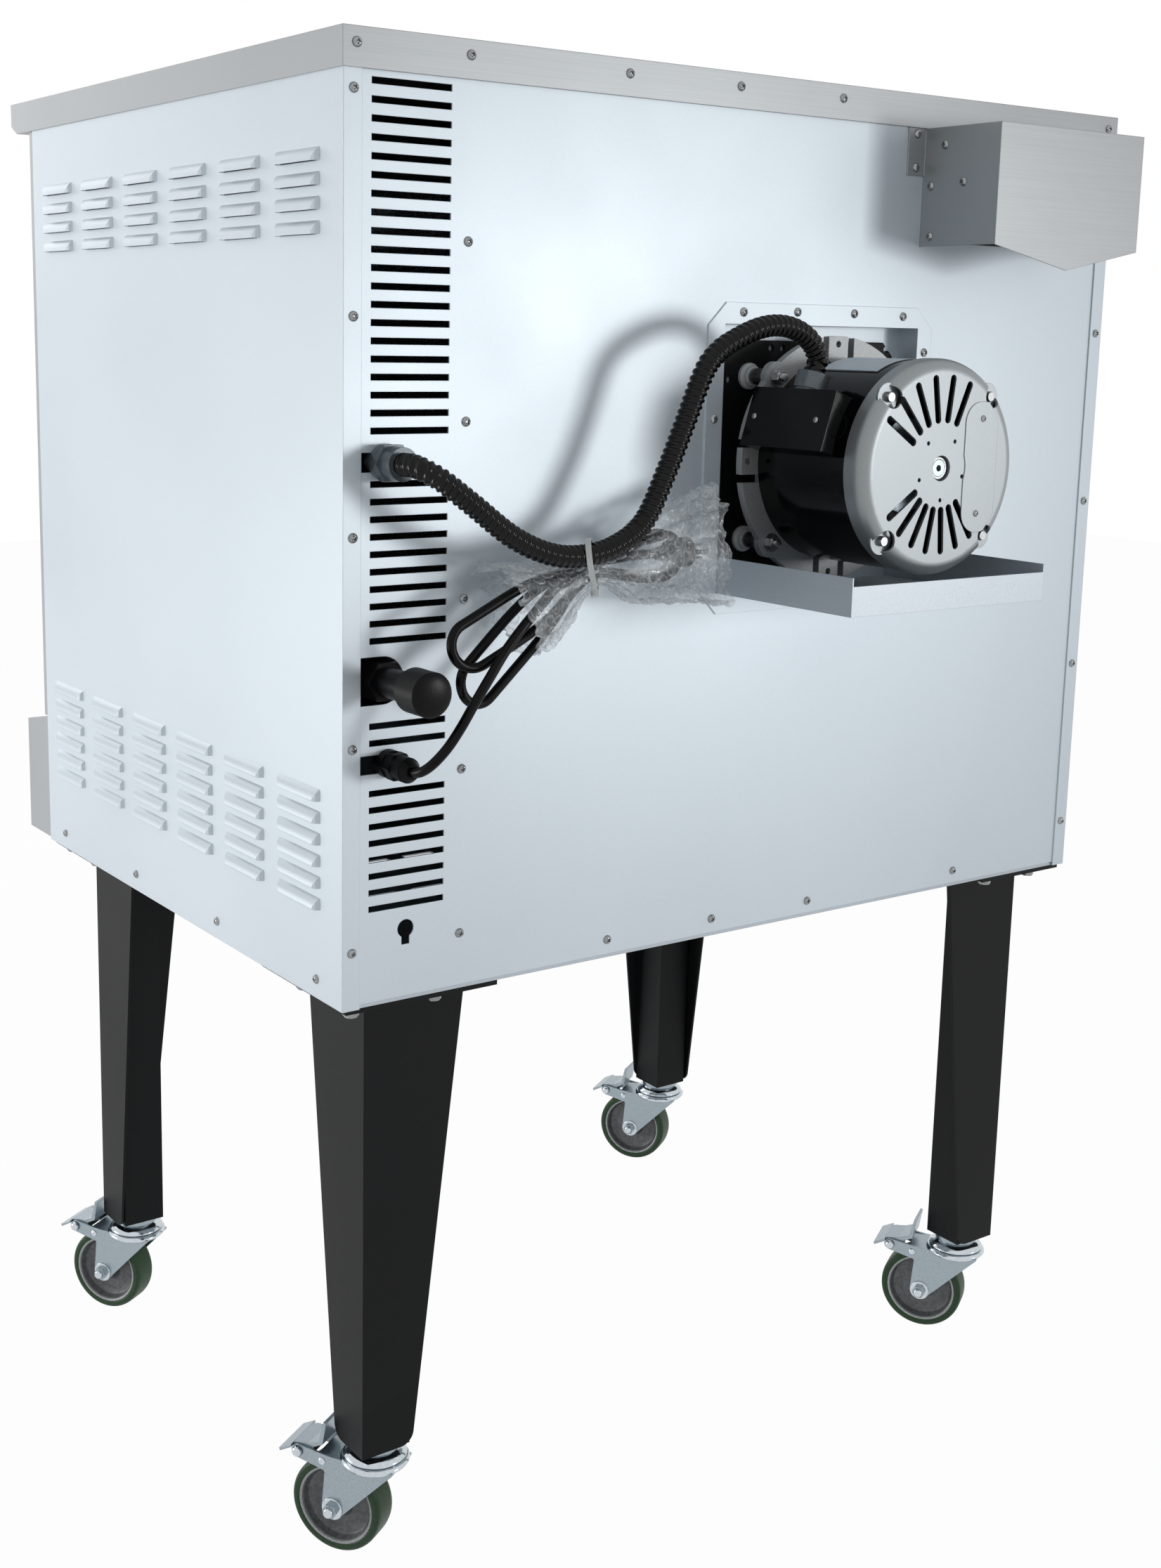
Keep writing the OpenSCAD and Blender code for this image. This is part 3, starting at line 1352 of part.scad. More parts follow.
// Centrifugal wheel: back plate, inlet ring, hub and a ring of curved blades
module blower_wheel() {
    r = wheel_d / 2;
    color([0.7, 0.71, 0.72])
    difference() {
        union() {
            rod_y(motor_x, motor_z, wheel_y1 - 2, wheel_y1, r, 96);
            rod_y(motor_x, motor_z, wheel_y0 + 20, wheel_y1, 24);
            difference() {
                rod_y(motor_x, motor_z, wheel_y0, wheel_y0 + 2, r, 96);
                rod_y(motor_x, motor_z, wheel_y0 - 1, wheel_y0 + 3, blade_in, 96);
            }
            translate([motor_x, 0, motor_z]) upright(wheel_y1 - 1, wheel_y1 - wheel_y0 - 2)
                for (k = [0:blade_n - 1]) rotate(k * 360 / blade_n) blade();
        }
        rod_y(motor_x, motor_z, wheel_y0 - 1, wheel_y1 + 1, shaft_r);
    }
}

// Shaft with the rotor pack and a keyed hub nut
module motor_rotor() {
    color([0.6, 0.6, 0.6]) {
        rod_y(motor_x, motor_z, wheel_y0 + 6, bell_y1 - 3, shaft_r);
        rod_y(motor_x, motor_z, motor_y + 30, shell_y1 - 22, motor_r * 0.465 - 1.5, 96);
        rod_y(motor_x, motor_z, wheel_y0 + 10, wheel_y0 + 20, 13, 6);
    }
}

placed() base_pan();
placed() rear_panel();
placed() right_side_panel();
placed() left_side_panel();
placed() top_cover();
placed() front_frame();
placed() oven_cavity();
placed() fan_baffle();
placed() rack_guides();
placed() control_panel();
placed() lower_front_panel();
placed() burners();
placed() gas_train();
placed() gas_inlet_pipe();
placed() gas_pipe_cap();
placed() flue_hood();
placed() motor_mount_frame();
placed() motor_plate();
placed() motor_standoffs();
placed() motor_flange();
placed() motor_shell();
placed() motor_rear_bell();
placed() terminal_box();
placed() motor_tray();
placed() conduit();
placed() conduit_fittings();
placed() cord_gland();
placed() power_cord();
placed() cord_hank();
placed() plug();
placed() plug_wrap();
placed() panel_screws();
placed() legs();
placed() caster_stems();
placed() blower_wheel();
placed() motor_rotor();
placed() door(true);  // left_door
placed() door_window(true);  // left_door_window
placed() door_handle(true);  // left_door_handle
placed() door(false);  // right_door
placed() door_window(false);  // right_door_window
placed() door_handle(false);  // right_door_handle
placed() power_switch();
placed() knob(thermostat_z, 50);  // temperature_knob
placed() knob(timer_z, 50);  // timer_knob
placed() oven_rack(1);  // oven_rack_1
placed() oven_rack(4);  // oven_rack_2
placed() oven_rack(7);  // oven_rack_3
for (i = [0:3]) {
    placed() caster_fork(i);
    placed() caster_wheel(i);
    placed() caster_brake(i);
}
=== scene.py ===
"""Gas convection oven, seen from its service side: camera, light, finishes and fine pieces.

Lengths in the tables are millimetres in the body's own frame: x from its middle, y from the
rear panel's outer face, z from the underside. place() turns them into metres in the part's frame.
"""
import json
import math

import bmesh
import bpy
import numpy as np
from mathutils import Euler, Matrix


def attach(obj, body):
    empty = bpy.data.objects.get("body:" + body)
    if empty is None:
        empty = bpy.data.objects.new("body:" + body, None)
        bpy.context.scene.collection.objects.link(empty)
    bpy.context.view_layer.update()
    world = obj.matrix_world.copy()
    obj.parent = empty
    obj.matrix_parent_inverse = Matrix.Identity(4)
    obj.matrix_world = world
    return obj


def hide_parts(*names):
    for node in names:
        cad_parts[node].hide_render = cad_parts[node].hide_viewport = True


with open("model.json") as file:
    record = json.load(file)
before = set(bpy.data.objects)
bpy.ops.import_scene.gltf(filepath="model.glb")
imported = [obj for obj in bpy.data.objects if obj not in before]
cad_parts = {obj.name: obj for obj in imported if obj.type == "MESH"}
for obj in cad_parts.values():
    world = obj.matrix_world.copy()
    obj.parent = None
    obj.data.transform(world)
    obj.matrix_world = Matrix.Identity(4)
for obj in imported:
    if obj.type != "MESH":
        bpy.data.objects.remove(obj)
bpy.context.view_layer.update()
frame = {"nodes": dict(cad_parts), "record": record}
SHIFT = np.array([-1.54, 307.0, 615.0])
MOTOR = np.array([-65.0, 0.0, 484.0])
BACK = np.array([0.0, 1.0, 0.0])
TAU = 2 * math.pi


def place(points):
    """Millimetres in the body's frame to metres in the part's frame: add the shift, divide by 1000."""
    return (np.asarray(points, float) + SHIFT) / 1000


def unit(v):
    """Vectors divided by their own length."""
    v = np.asarray(v, float)
    return v / np.linalg.norm(v, axis=-1, keepdims=True)


def curve_through(points, steps):
    """Smooth curve through given points: on each span the cubic whose slopes are half the difference of
    the two neighbours, the same rule as the part's own routes."""
    p = np.asarray(points, float)
    a = p[np.maximum(np.arange(len(p) - 1) - 1, 0)]
    b = p[:-1]
    c = p[1:]
    d = p[np.minimum(np.arange(len(p) - 1) + 2, len(p) - 1)]
    t = np.linspace(0, 1, steps, endpoint=False)[None, :, None]
    a, b, c, d = (q[:, None, :] for q in (a, b, c, d))
    square = (2 * a - 5 * b + 4 * c - d) * t**2
    cube = (3 * b - a - 3 * c + d) * t**3
    body = 0.5 * (2 * b + (c - a) * t + square + cube)
    return np.vstack([body.reshape(-1, 3), p[-1:]])


def evenly(path, count):
    """The same path with points at equal steps of its running length."""
    run = np.concatenate([[0], np.cumsum(np.linalg.norm(np.diff(path, axis=0), axis=1))])
    at = np.linspace(0, run[-1], count)
    return np.stack([np.interp(at, run, path[:, k]) for k in range(3)], 1), run[-1]


def hoops(path, start):
    """Unit vectors across a path: the first is start, each next one is the last with its part
    along the path taken out, so that the section never twists."""
    heading = unit(np.gradient(path, axis=0))
    side = np.empty_like(path)
    v = np.asarray(start, float)
    for i, t in enumerate(heading):
        v = unit(v - (v @ t) * t)
        side[i] = v
    return side, np.cross(heading, side)


class Shape:
    """Grids of points gathered into one mesh."""

    def __init__(self):
        self.points = []
        self.faces = []
        self.tags = []
        self.count = 0

    def grid(self, points, wrap_rows=False, wrap_cols=True, caps=(False, False), tag=0):
        """Adds a grid of points, shaped rows x columns x 3, as quads, with flat caps on its end rows."""
        points = np.asarray(points, float)
        rows, cols = points.shape[:2]
        i = np.arange(rows if wrap_rows else rows - 1)[:, None]
        j = np.arange(cols if wrap_cols else cols - 1)[None, :]
        here = i * cols
        there = (i + 1) % rows * cols
        quads = np.stack([here + j, here + (j + 1) % cols, there + (j + 1) % cols, there + j], -1)
        quads = (quads.reshape(-1, 4) + self.count).tolist()
        if caps[0]:
            quads.append([self.count + k for k in range(cols - 1, -1, -1)])
        if caps[1]:
            quads.append([self.count + (rows - 1) * cols + k for k in range(cols)])
        self.faces += quads
        self.tags += [tag] * len(quads)
        self.points.append(points.reshape(-1, 3))
        self.count += rows * cols
        return self

    def mesh(self, points, faces, tag=0):
        """Adds points and faces that are already worked out."""
        self.faces += [[self.count + k for k in face] for face in faces]
        self.tags += [tag] * len(faces)
        self.points.append(np.asarray(points, float))
        self.count += len(points)
        return self

    def piece(self, name, material, body, slot, replaces=(), smooth=35.0, weld=1e-6, masks=None):
        """Makes the mesh, closes doubled points, turns its faces outward and hangs it on a body.
        masks gives named values for its points, which its material reads as attributes."""
        mesh = bpy.data.meshes.new(name)
        mesh.from_pydata(place(np.vstack(self.points)).tolist(), [], self.faces)
        materials = material if isinstance(material, (list, tuple)) else [material]
        for m in materials:
            mesh.materials.append(m)
        mesh.polygons.foreach_set("material_index", self.tags)
        for title, values in (masks or {}).items():
            mesh.attributes.new(title, "FLOAT", "POINT").data.foreach_set("value", np.ravel(values))
        work = bmesh.new()
        work.from_mesh(mesh)
        bmesh.ops.remove_doubles(work, verts=work.verts, dist=weld)
        bmesh.ops.dissolve_degenerate(work, edges=work.edges, dist=1e-7)
        bmesh.ops.recalc_face_normals(work, faces=work.faces)
        work.to_mesh(mesh)
        work.free()
        mesh.polygons.foreach_set("use_smooth", [True] * len(mesh.polygons))
        mesh.set_sharp_from_angle(angle=math.radians(smooth))
        made = bpy.data.objects.new(name, mesh)
        bpy.context.scene.collection.objects.link(made)
        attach(made, body)
        if replaces:
            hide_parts(*replaces)
        return made


def axes_across(axis):
    """Two unit vectors square to an axis and to each other: the first is level, or points along y
    where the axis itself stands upright."""
    helper = np.array([0.0, 0.0, 1.0]) if abs(axis[2]) < 0.9 else np.array([1.0, 0.0, 0.0])
    u = unit(np.cross(helper, axis))
    return u, np.cross(axis, u)


def pipe(path, radius, sides=16, start=(0, 0, 1)):
    """Round section carried along a path: centre plus radius times cosine and sine of the angle
    along two vectors across the path. radius is one number, or a grid over path and angle."""
    side, rise = hoops(path, start)
    t = np.linspace(0, TAU, sides, endpoint=False)[None, :, None]
    r = np.broadcast_to(np.asarray(radius, float), (len(path), sides))[..., None]
    return path[:, None] + r * (np.cos(t) * side[:, None] + np.sin(t) * rise[:, None])


def turned(profile, centre, axis, sides=48, bumps=None):
    """Surface of revolution: each (radius, height) pair swept round the axis. bumps is added to
    the height over the same grid of profile and angle."""
    axis = unit(axis)
    u, v = axes_across(axis)
    t = np.linspace(0, TAU, sides, endpoint=False)
    p = np.asarray(profile, float)
    height = p[:, 1][:, None] + (0 if bumps is None else bumps)
    height = np.broadcast_to(height, (len(p), sides))
    ring = np.cos(t)[:, None] * u + np.sin(t)[:, None] * v
    return np.asarray(centre, float) + p[:, 0][:, None, None] * ring[None] + height[..., None] * axis


def rounded_profile(corners, radius, steps=4):
    """Open polyline whose inner corners are replaced by short arcs: each corner is blended by the
    quadratic curve between points a radius before and after it."""
    p = np.asarray(corners, float)
    out = [p[:1]]
    t = np.linspace(0, 1, steps)[:, None]
    for a, b, c in zip(p[:-2], p[1:-1], p[2:]):
        r = min(radius, 0.45 * np.linalg.norm(b - a), 0.45 * np.linalg.norm(c - b))
        s = b + (a - b) / max(np.linalg.norm(a - b), 1e-9) * r
        e = b + (c - b) / max(np.linalg.norm(c - b), 1e-9) * r
        out.append((1 - t) ** 2 * s + 2 * (1 - t) * t * b + t**2 * e)
    out.append(p[-1:])
    return np.vstack(out)


def tone(r, g, b):
    """Colour as it looks on screen, 0 to 255, to the linear value that a shader takes."""
    c = np.array([r, g, b]) / 255
    lin = np.where(c <= 0.04045, c / 12.92, ((c + 0.055) / 1.055) ** 2.4)
    return (*lin.tolist(), 1.0)


def node(tree, kind, feeds=None, **settings):
    """Adds a shader node: feeds gives each input a value or another node's output."""
    made = tree.nodes.new("ShaderNode" + kind)
    for key, value in settings.items():
        setattr(made, key, value)
    for key, value in (feeds or {}).items():
        if isinstance(value, bpy.types.NodeSocket):
            tree.links.new(value, made.inputs[key])
        else:
            made.inputs[key].default_value = value
    return made


def group(name, inputs, build):
    """A shader node group: inputs are (name, socket type, value); build returns its outputs."""
    made = bpy.data.node_groups.new(name, "ShaderNodeTree")
    for title, kind, value in inputs:
        socket = made.interface.new_socket(title, in_out="INPUT", socket_type="NodeSocket" + kind)
        if value is not None:
            socket.default_value = value
    source = made.nodes.new("NodeGroupInput")
    found = build(made, source.outputs)
    for title, (kind, output) in found.items():
        made.interface.new_socket(title, in_out="OUTPUT", socket_type="NodeSocket" + kind)
    sink = made.nodes.new("NodeGroupOutput")
    for title, (kind, output) in found.items():
        made.links.new(output, sink.inputs[title])
    return made


def use(tree, made, feeds=None):
    """Places a node group in a material."""
    return node(tree, "Group", feeds, node_tree=made).outputs


def build_speckle(tree, given):
    """Fine grains: noise at the given scale, sharpened to separate dots and pale ground."""
    noise = node(tree, "TexNoise", {"Vector": given["Vector"], "Scale": given["Scale"], "Detail": 2.0})
    ramp = node(tree, "MapRange", {"Value": noise.outputs["Fac"], "From Min": 0.35, "From Max": 0.65})
    return {"Mask": ("Float", ramp.outputs["Result"])}


def build_clouds(tree, given):
    """Slow, soft changes over a large sheet: low noise, stretched to the full range."""
    noise = node(tree, "TexNoise", {"Vector": given["Vector"], "Scale": given["Scale"], "Detail": 3.0,
                                    "Roughness": 0.45})
    ramp = node(tree, "MapRange", {"Value": noise.outputs["Fac"], "From Min": 0.3, "From Max": 0.7})
    return {"Mask": ("Float", ramp.outputs["Result"])}


def build_brushing(tree, given):
    """Brush lines: noise on coordinates squeezed across the line and left long along it."""
    squeezed = node(tree, "VectorMath", {0: given["Vector"], 1: given["Stretch"]}, operation="MULTIPLY")
    noise = node(tree, "TexNoise", {"Vector": squeezed.outputs[0], "Scale": 1.0, "Detail": 3.0,
                                    "Roughness": 0.7})
    ramp = node(tree, "MapRange", {"Value": noise.outputs["Fac"], "From Min": 0.3, "From Max": 0.7})
    return {"Mask": ("Float", ramp.outputs["Result"])}


def build_soft_edges(tree, given):
    """Rounded look of folded and cut edges: the normal averaged over a small radius, then bumped
    by the height that is fed in."""
    edge = node(tree, "Bevel", {"Radius": given["Radius"]}, samples=4)
    bump = node(tree, "Bump", {"Height": given["Height"], "Strength": given["Strength"],
                               "Distance": 0.0004, "Normal": edge.outputs["Normal"]})
    return {"Normal": ("Vector", bump.outputs["Normal"])}


SPECKLE = group("fine_speckle", [("Vector", "Vector", None), ("Scale", "Float", 900.0)], build_speckle)
CLOUDS = group("slow_clouds", [("Vector", "Vector", None), ("Scale", "Float", 3.0)], build_clouds)
BRUSHING = group("brush_lines", [("Vector", "Vector", None), ("Stretch", "Vector", (3, 900, 900))],
                 build_brushing)
SOFT_EDGES = group("soft_edges", [("Height", "Float", 0.5), ("Strength", "Float", 0.1),
                                  ("Radius", "Float", 0.0006)], build_soft_edges)


def new_material(name):
    """A node material, with its tree and its shader."""
    made = bpy.data.materials.new(name)
    made.use_nodes = True
    tree = made.node_tree
    return made, tree, tree.nodes["Principled BSDF"]


def finish_of(name, dark, light, metallic, rough, texture="speckle", scale=900.0, stretch=(3, 900, 900),
              bump=0.1, edge=0.0006, coat=0.0, spread=0.08, shine=0.5):
    """One finish: colour runs from dark to light with the texture's mask and slow clouds, roughness
    follows the clouds, and the texture also lifts the surface a little."""
    made, tree, shader = new_material(name)
    where = node(tree, "TexCoord").outputs["Object"]
    if texture == "brushed":
        grain = use(tree, BRUSHING, {"Vector": where, "Stretch": stretch})["Mask"]
    else:
        grain = use(tree, SPECKLE, {"Vector": where, "Scale": scale})["Mask"]
    clouds = use(tree, CLOUDS, {"Vector": where, "Scale": 4.0})["Mask"]
    blend = node(tree, "Math", {0: grain, 1: 0.6}, operation="MULTIPLY")
    blend = node(tree, "Math", {0: clouds, 1: 0.4, 2: blend.outputs[0]}, operation="MULTIPLY_ADD")
    colour = node(tree, "Mix", {"Factor": blend.outputs[0], 6: dark, 7: light}, data_type="RGBA")
    tree.links.new(colour.outputs[2], shader.inputs["Base Color"])
    rough_map = node(tree, "MapRange", {"Value": clouds, "To Min": rough - spread / 2,
                                        "To Max": rough + spread / 2})
    tree.links.new(rough_map.outputs["Result"], shader.inputs["Roughness"])
    normal = use(tree, SOFT_EDGES, {"Height": grain, "Strength": bump, "Radius": edge})["Normal"]
    tree.links.new(normal, shader.inputs["Normal"])
    shader.inputs["Metallic"].default_value = metallic
    shader.inputs["Coat Weight"].default_value = coat
    shader.inputs["Coat Roughness"].default_value = 0.06
    shader.inputs["Specular IOR Level"].default_value = shine
    made.diffuse_color = light
    return made


def clear_film_finish():
    """Cushioned film: pale and mostly see-through. It is whiter on the rims of its cushions, a painted
    highlight for the light their steep edges catch, along its folds and where it is crumpled, from masks
    that the piece carries."""
    made, tree, shader = new_material("clear_film")
    where = node(tree, "TexCoord").outputs["Object"]
    # painted highlight: a ring near each cushion's edge, read from the piece's mask
    rim_glint = node(tree, "Attribute", attribute_name="painted_rim_highlight").outputs["Fac"]
    fold = node(tree, "Attribute", attribute_name="fold_line").outputs["Fac"]
    crease = node(tree, "TexNoise", {"Vector": where, "Scale": 95.0, "Detail": 4.0, "Distortion": 1.6})
    bump = node(tree, "Bump", {"Height": crease.outputs["Fac"], "Strength": 0.55, "Distance": 0.003})
    tree.links.new(bump.outputs["Normal"], shader.inputs["Normal"])
    streak = node(tree, "TexNoise", {"Vector": where, "Scale": 30.0, "Detail": 5.0, "Roughness": 0.65})
    cover = node(tree, "MapRange", {"Value": streak.outputs["Fac"], "From Min": 0.36, "From Max": 0.68,
                                    "To Min": 0.1, "To Max": 0.46})
    # the painted rim highlight raises the film's cover, so it shows whiter on each cushion's edge
    cover = node(tree, "Math", {0: rim_glint, 1: 0.3, 2: cover.outputs["Result"]}, operation="MULTIPLY_ADD")
    cover = node(tree, "Math", {0: fold, 1: 0.34, 2: cover.outputs[0]}, operation="MULTIPLY_ADD",
                 use_clamp=True)
    tree.links.new(cover.outputs[0], shader.inputs["Alpha"])
    shader.inputs["Base Color"].default_value = tone(220, 226, 230)
    shader.inputs["Roughness"].default_value = 0.1
    shader.inputs["Specular IOR Level"].default_value = 0.9
    return made


def dark_glass_finish():
    """Tinted oven glass: nearly black and mirror smooth, partly see-through."""
    made, tree, shader = new_material("door_glass")
    where = node(tree, "TexCoord").outputs["Object"]
    smear = use(tree, CLOUDS, {"Vector": where, "Scale": 9.0})["Mask"]
    rough = node(tree, "MapRange", {"Value": smear, "To Min": 0.02, "To Max": 0.07})
    tree.links.new(rough.outputs["Result"], shader.inputs["Roughness"])
    shader.inputs["Base Color"].default_value = tone(38, 42, 45)
    shader.inputs["Alpha"].default_value = 0.8
    return made


PANEL = finish_of("panel_steel", tone(211, 221, 228), tone(221, 230, 237), 0.3, 0.44, scale=1400.0,
                  bump=0.04, edge=0.0009)
STAINLESS = finish_of("stainless", tone(154, 158, 161), tone(166, 169, 171), 0.7, 0.44, "brushed",
                      stretch=(6, 900, 900), bump=0.03, edge=0.0012)
GALVANISED = finish_of("galvanised", tone(190, 198, 205), tone(206, 214, 221), 0.3, 0.42, bump=0.04)
ENAMEL = finish_of("enamel", tone(34, 37, 41), tone(72, 76, 80), 0.0, 0.22, scale=500.0, bump=0.05,
                   coat=0.6)
LEG_BLACK = finish_of("black_steel", tone(16, 17, 18), tone(26, 27, 29), 0.0, 0.46, scale=1100.0,
                      bump=0.12, shine=0.13)
MOTOR_BLACK = finish_of("motor_black", tone(5, 5, 6), tone(9, 9, 11), 0.0, 0.12, scale=300.0, bump=0.02,
                        spread=0.04, shine=0.16)
CAST = finish_of("cast_metal", tone(150, 153, 154), tone(178, 181, 182), 0.5, 0.5, scale=900.0, bump=0.2)
DRAWN = finish_of("drawn_aluminium", tone(138, 143, 146), tone(156, 161, 164), 0.65, 0.42,
                  scale=1500.0, bump=0.03)
ZINC = finish_of("zinc", tone(152, 164, 171), tone(168, 180, 187), 0.8, 0.27, scale=500.0,
                 bump=0.015, edge=0.001)
POLISHED = finish_of("polished_zinc", tone(188, 196, 201), tone(204, 211, 216), 1.0, 0.12,
                     scale=300.0, bump=0.01)
WORN_RIM = finish_of("worn_rim", tone(128, 131, 132), tone(186, 188, 188), 0.4, 0.42, scale=700.0,
                     bump=0.25)
SCREW = finish_of("screw_steel", tone(120, 122, 123), tone(170, 172, 173), 0.9, 0.28, bump=0.03,
                  edge=0.0002)
PIPE_BLACK = finish_of("black_pipe", tone(8, 8, 9), tone(14, 14, 15), 0.0, 0.34, scale=500.0,
                       bump=0.08, shine=0.12)
CONDUIT_BLACK = finish_of("conduit_black", tone(4, 4, 5), tone(8, 8, 9), 0.0, 0.18, scale=600.0,
                          bump=0.04, edge=0.0002, shine=0.2)
FITTING = finish_of("fitting_grey", tone(88, 96, 101), tone(110, 118, 123), 0.35, 0.34, scale=700.0,
                    bump=0.06)
MOULDED = finish_of("black_plastic", tone(6, 6, 7), tone(11, 11, 12), 0.0, 0.42, bump=0.15,
                    shine=0.08)
CORD = finish_of("cord_rubber", tone(6, 6, 7), tone(10, 10, 11), 0.0, 0.3, scale=700.0, bump=0.06,
                 edge=0.0002, shine=0.12)
GRIP = finish_of("handle_black", tone(18, 18, 18), tone(30, 30, 30), 0.0, 0.4, bump=0.15, shine=0.3)
WIRE = finish_of("rack_wire", tone(190, 191, 190), tone(220, 221, 219), 0.95, 0.22, scale=500.0,
                 bump=0.03, edge=0.0002)
TREAD = finish_of("tread_green", tone(32, 58, 34), tone(48, 78, 48), 0.0, 0.46, scale=300.0,
                  bump=0.08, shine=0.3)
CORE = finish_of("wheel_core", tone(86, 87, 89), tone(122, 123, 125), 0.15, 0.45, scale=220.0, bump=0.3)
FILM = clear_film_finish()
NYLON = finish_of("nylon", tone(214, 218, 216), tone(232, 235, 233), 0.0, 0.34, scale=600.0, bump=0.04)
GLASS = dark_glass_finish()

FINISHES = {
    "panel_steel": PANEL, "stainless": STAINLESS, "enamel": ENAMEL, "galvanised": GALVANISED,
    "black_steel": LEG_BLACK, "motor_black": MOTOR_BLACK, "cast_metal": CAST, "drawn_aluminium": DRAWN,
    "zinc": ZINC, "screw_steel": SCREW, "black_pipe": PIPE_BLACK, "conduit_black": CONDUIT_BLACK,
    "fitting_grey": FITTING, "black_plastic": MOULDED, "cord_rubber": CORD, "clear_film": FILM,
    "door_glass": GLASS, "handle_black": GRIP, "rack_wire": WIRE, "tread_green": TREAD,
}


def dress_nodes():
    """Gives each CAD node the finish of its slot in the record."""
    for entry in frame["record"]["subparts"]:
        item = frame["nodes"][entry["node"]]
        item.data.materials.clear()
        item.data.materials.append(FINISHES[entry["material_slot"]])


def make_camera():
    """The photograph's view: about 1.9 m from the motor, level with the lid, turned to the rear
    right corner, with the frame shifted as the picture is cropped."""
    data = bpy.data.cameras.new("camera")
    data.sensor_fit = "VERTICAL"
    data.sensor_width = 36.0
    data.sensor_height = 36.0
    data.lens = 44.03
    data.shift_x = 0.0388
    data.shift_y = -0.0595
    data.clip_start = 0.05
    made = bpy.data.objects.new("camera", data)
    made.location = (1.2895, 1.7387, 1.2134)
    made.rotation_euler = Euler([math.radians(a) for a in (79.549, -1.044, 145.449)])
    bpy.context.scene.collection.objects.link(made)
    bpy.context.scene.camera = made


def soft_box(name, at, aim, size, power, spread=180):
    """A square lamp at one point, turned to another, whose light fans out over the spread in degrees."""
    data = bpy.data.lights.new(name, "AREA")
    data.shape = "SQUARE"
    data.size = size
    data.energy = power
    data.spread = math.radians(spread)
    made = bpy.data.objects.new(name, data)
    made.location = at
    way = np.array(aim, float) - np.array(at, float)
    made.rotation_euler = Euler((math.atan2(math.hypot(way[0], way[1]), -way[2]), 0,
                                 math.atan2(way[0], -way[1]) + math.pi))
    bpy.context.scene.collection.objects.link(made)


def seen_directly(tree):
    """1 for what the camera, a reflection or a look through glass meets, and 0 for light itself."""
    seen = node(tree, "LightPath").outputs
    direct = node(tree, "Math", {0: seen["Is Camera Ray"], 1: seen["Is Glossy Ray"]},
                  operation="MAXIMUM")
    direct = node(tree, "Math", {0: direct.outputs[0], 1: seen["Is Transmission Ray"]},
                  operation="MAXIMUM")
    return direct.outputs[0]


def make_studio():
    """Pale floor, white surround and soft light from the far side of the service panel."""
    world = bpy.data.worlds.new("surround")
    bpy.context.scene.world = world
    world.use_nodes = True
    tree = world.node_tree
    tree.nodes.clear()
    direct = seen_directly(tree)
    lit = node(tree, "Background", {"Color": (0.93, 0.97, 1.0, 1.0), "Strength": 0.33})
    white = node(tree, "Background", {"Color": (1.0, 1.0, 1.0, 1.0), "Strength": 1.0})
    mixed = node(tree, "MixShader", {0: direct, 1: lit.outputs[0], 2: white.outputs[0]})
    out = node(tree, "OutputWorld")
    tree.links.new(mixed.outputs[0], out.inputs["Surface"])
    soft_box("key", (-2.3, 3.7, 1.15), (0.4, 0.3, 0.95), 0.9, 2.2, 36)
    soft_box("side_fill", (3.1, -1.9, 0.5), (0.45, -0.2, 1.0), 1.3, 39)
    soft_box("front_fill", (0.6, -3.6, 2.2), (0.0, -0.4, 1.0), 1.8, 26)
    reach = 9
    mesh = bpy.data.meshes.new("studio_floor")
    corners = [(-reach, -reach, 0), (reach, -reach, 0), (reach, reach, 0), (-reach, reach, 0)]
    mesh.from_pydata(corners, [], [(0, 1, 2, 3)])
    floor = bpy.data.objects.new("studio_floor", mesh)
    bpy.context.scene.collection.objects.link(floor)
    paper, tree, shader = new_material("studio_paper")
    shader.inputs["Base Color"].default_value = (0.9, 0.9, 0.9, 1)
    shader.inputs["Roughness"].default_value = 0.9
    share = node(tree, "Math", {0: seen_directly(tree), 1: 0.97}, operation="MULTIPLY")
    glow = node(tree, "Emission", {"Color": (1, 1, 1, 1), "Strength": 1.0})
    mixed = node(tree, "MixShader", {0: share.outputs[0], 1: shader.outputs[0], 2: glow.outputs[0]})
    tree.links.new(mixed.outputs[0], tree.nodes["Material Output"].inputs["Surface"])
    mesh.materials.append(paper)


CONDUIT_D = 20.5
RIB_PITCH = 6.4
RIB_DEPTH = 1.5
PLAIN_END = 8
BOX_TURN = math.radians(17)
BOX_OUT = np.array([math.cos(BOX_TURN), 0, math.sin(BOX_TURN)])
BOX_UP = np.array([-math.sin(BOX_TURN), 0, math.cos(BOX_TURN)])
FITTING_BASE = MOTOR + 108 * BOX_OUT + 36 * BOX_UP + np.array([0, 79.0, 0])
FITTING_TOP = FITTING_BASE + 20 * BOX_UP
CONDUIT_ROUTE = [[443, 30, 490], [443, 38, 490], [443, 46, 490], [439, 57, 487], [426, 66, 478],
                 [400, 72, 458], [361, 77, 429], [323, 79, 413], [288, 80, 410], [253, 80, 417],
                 [219, 77, 437], [192, 74, 482], [173, 74, 524], [154, 76, 570], [138, 77, 589],
                 [119, 78, 600], [97, 79, 609], [76, 79, 613], [56, 79, 612], [38, 79, 606],
                 [25, 79, 596], FITTING_TOP + 14 * BOX_UP, FITTING_TOP + 7 * BOX_UP, FITTING_TOP]


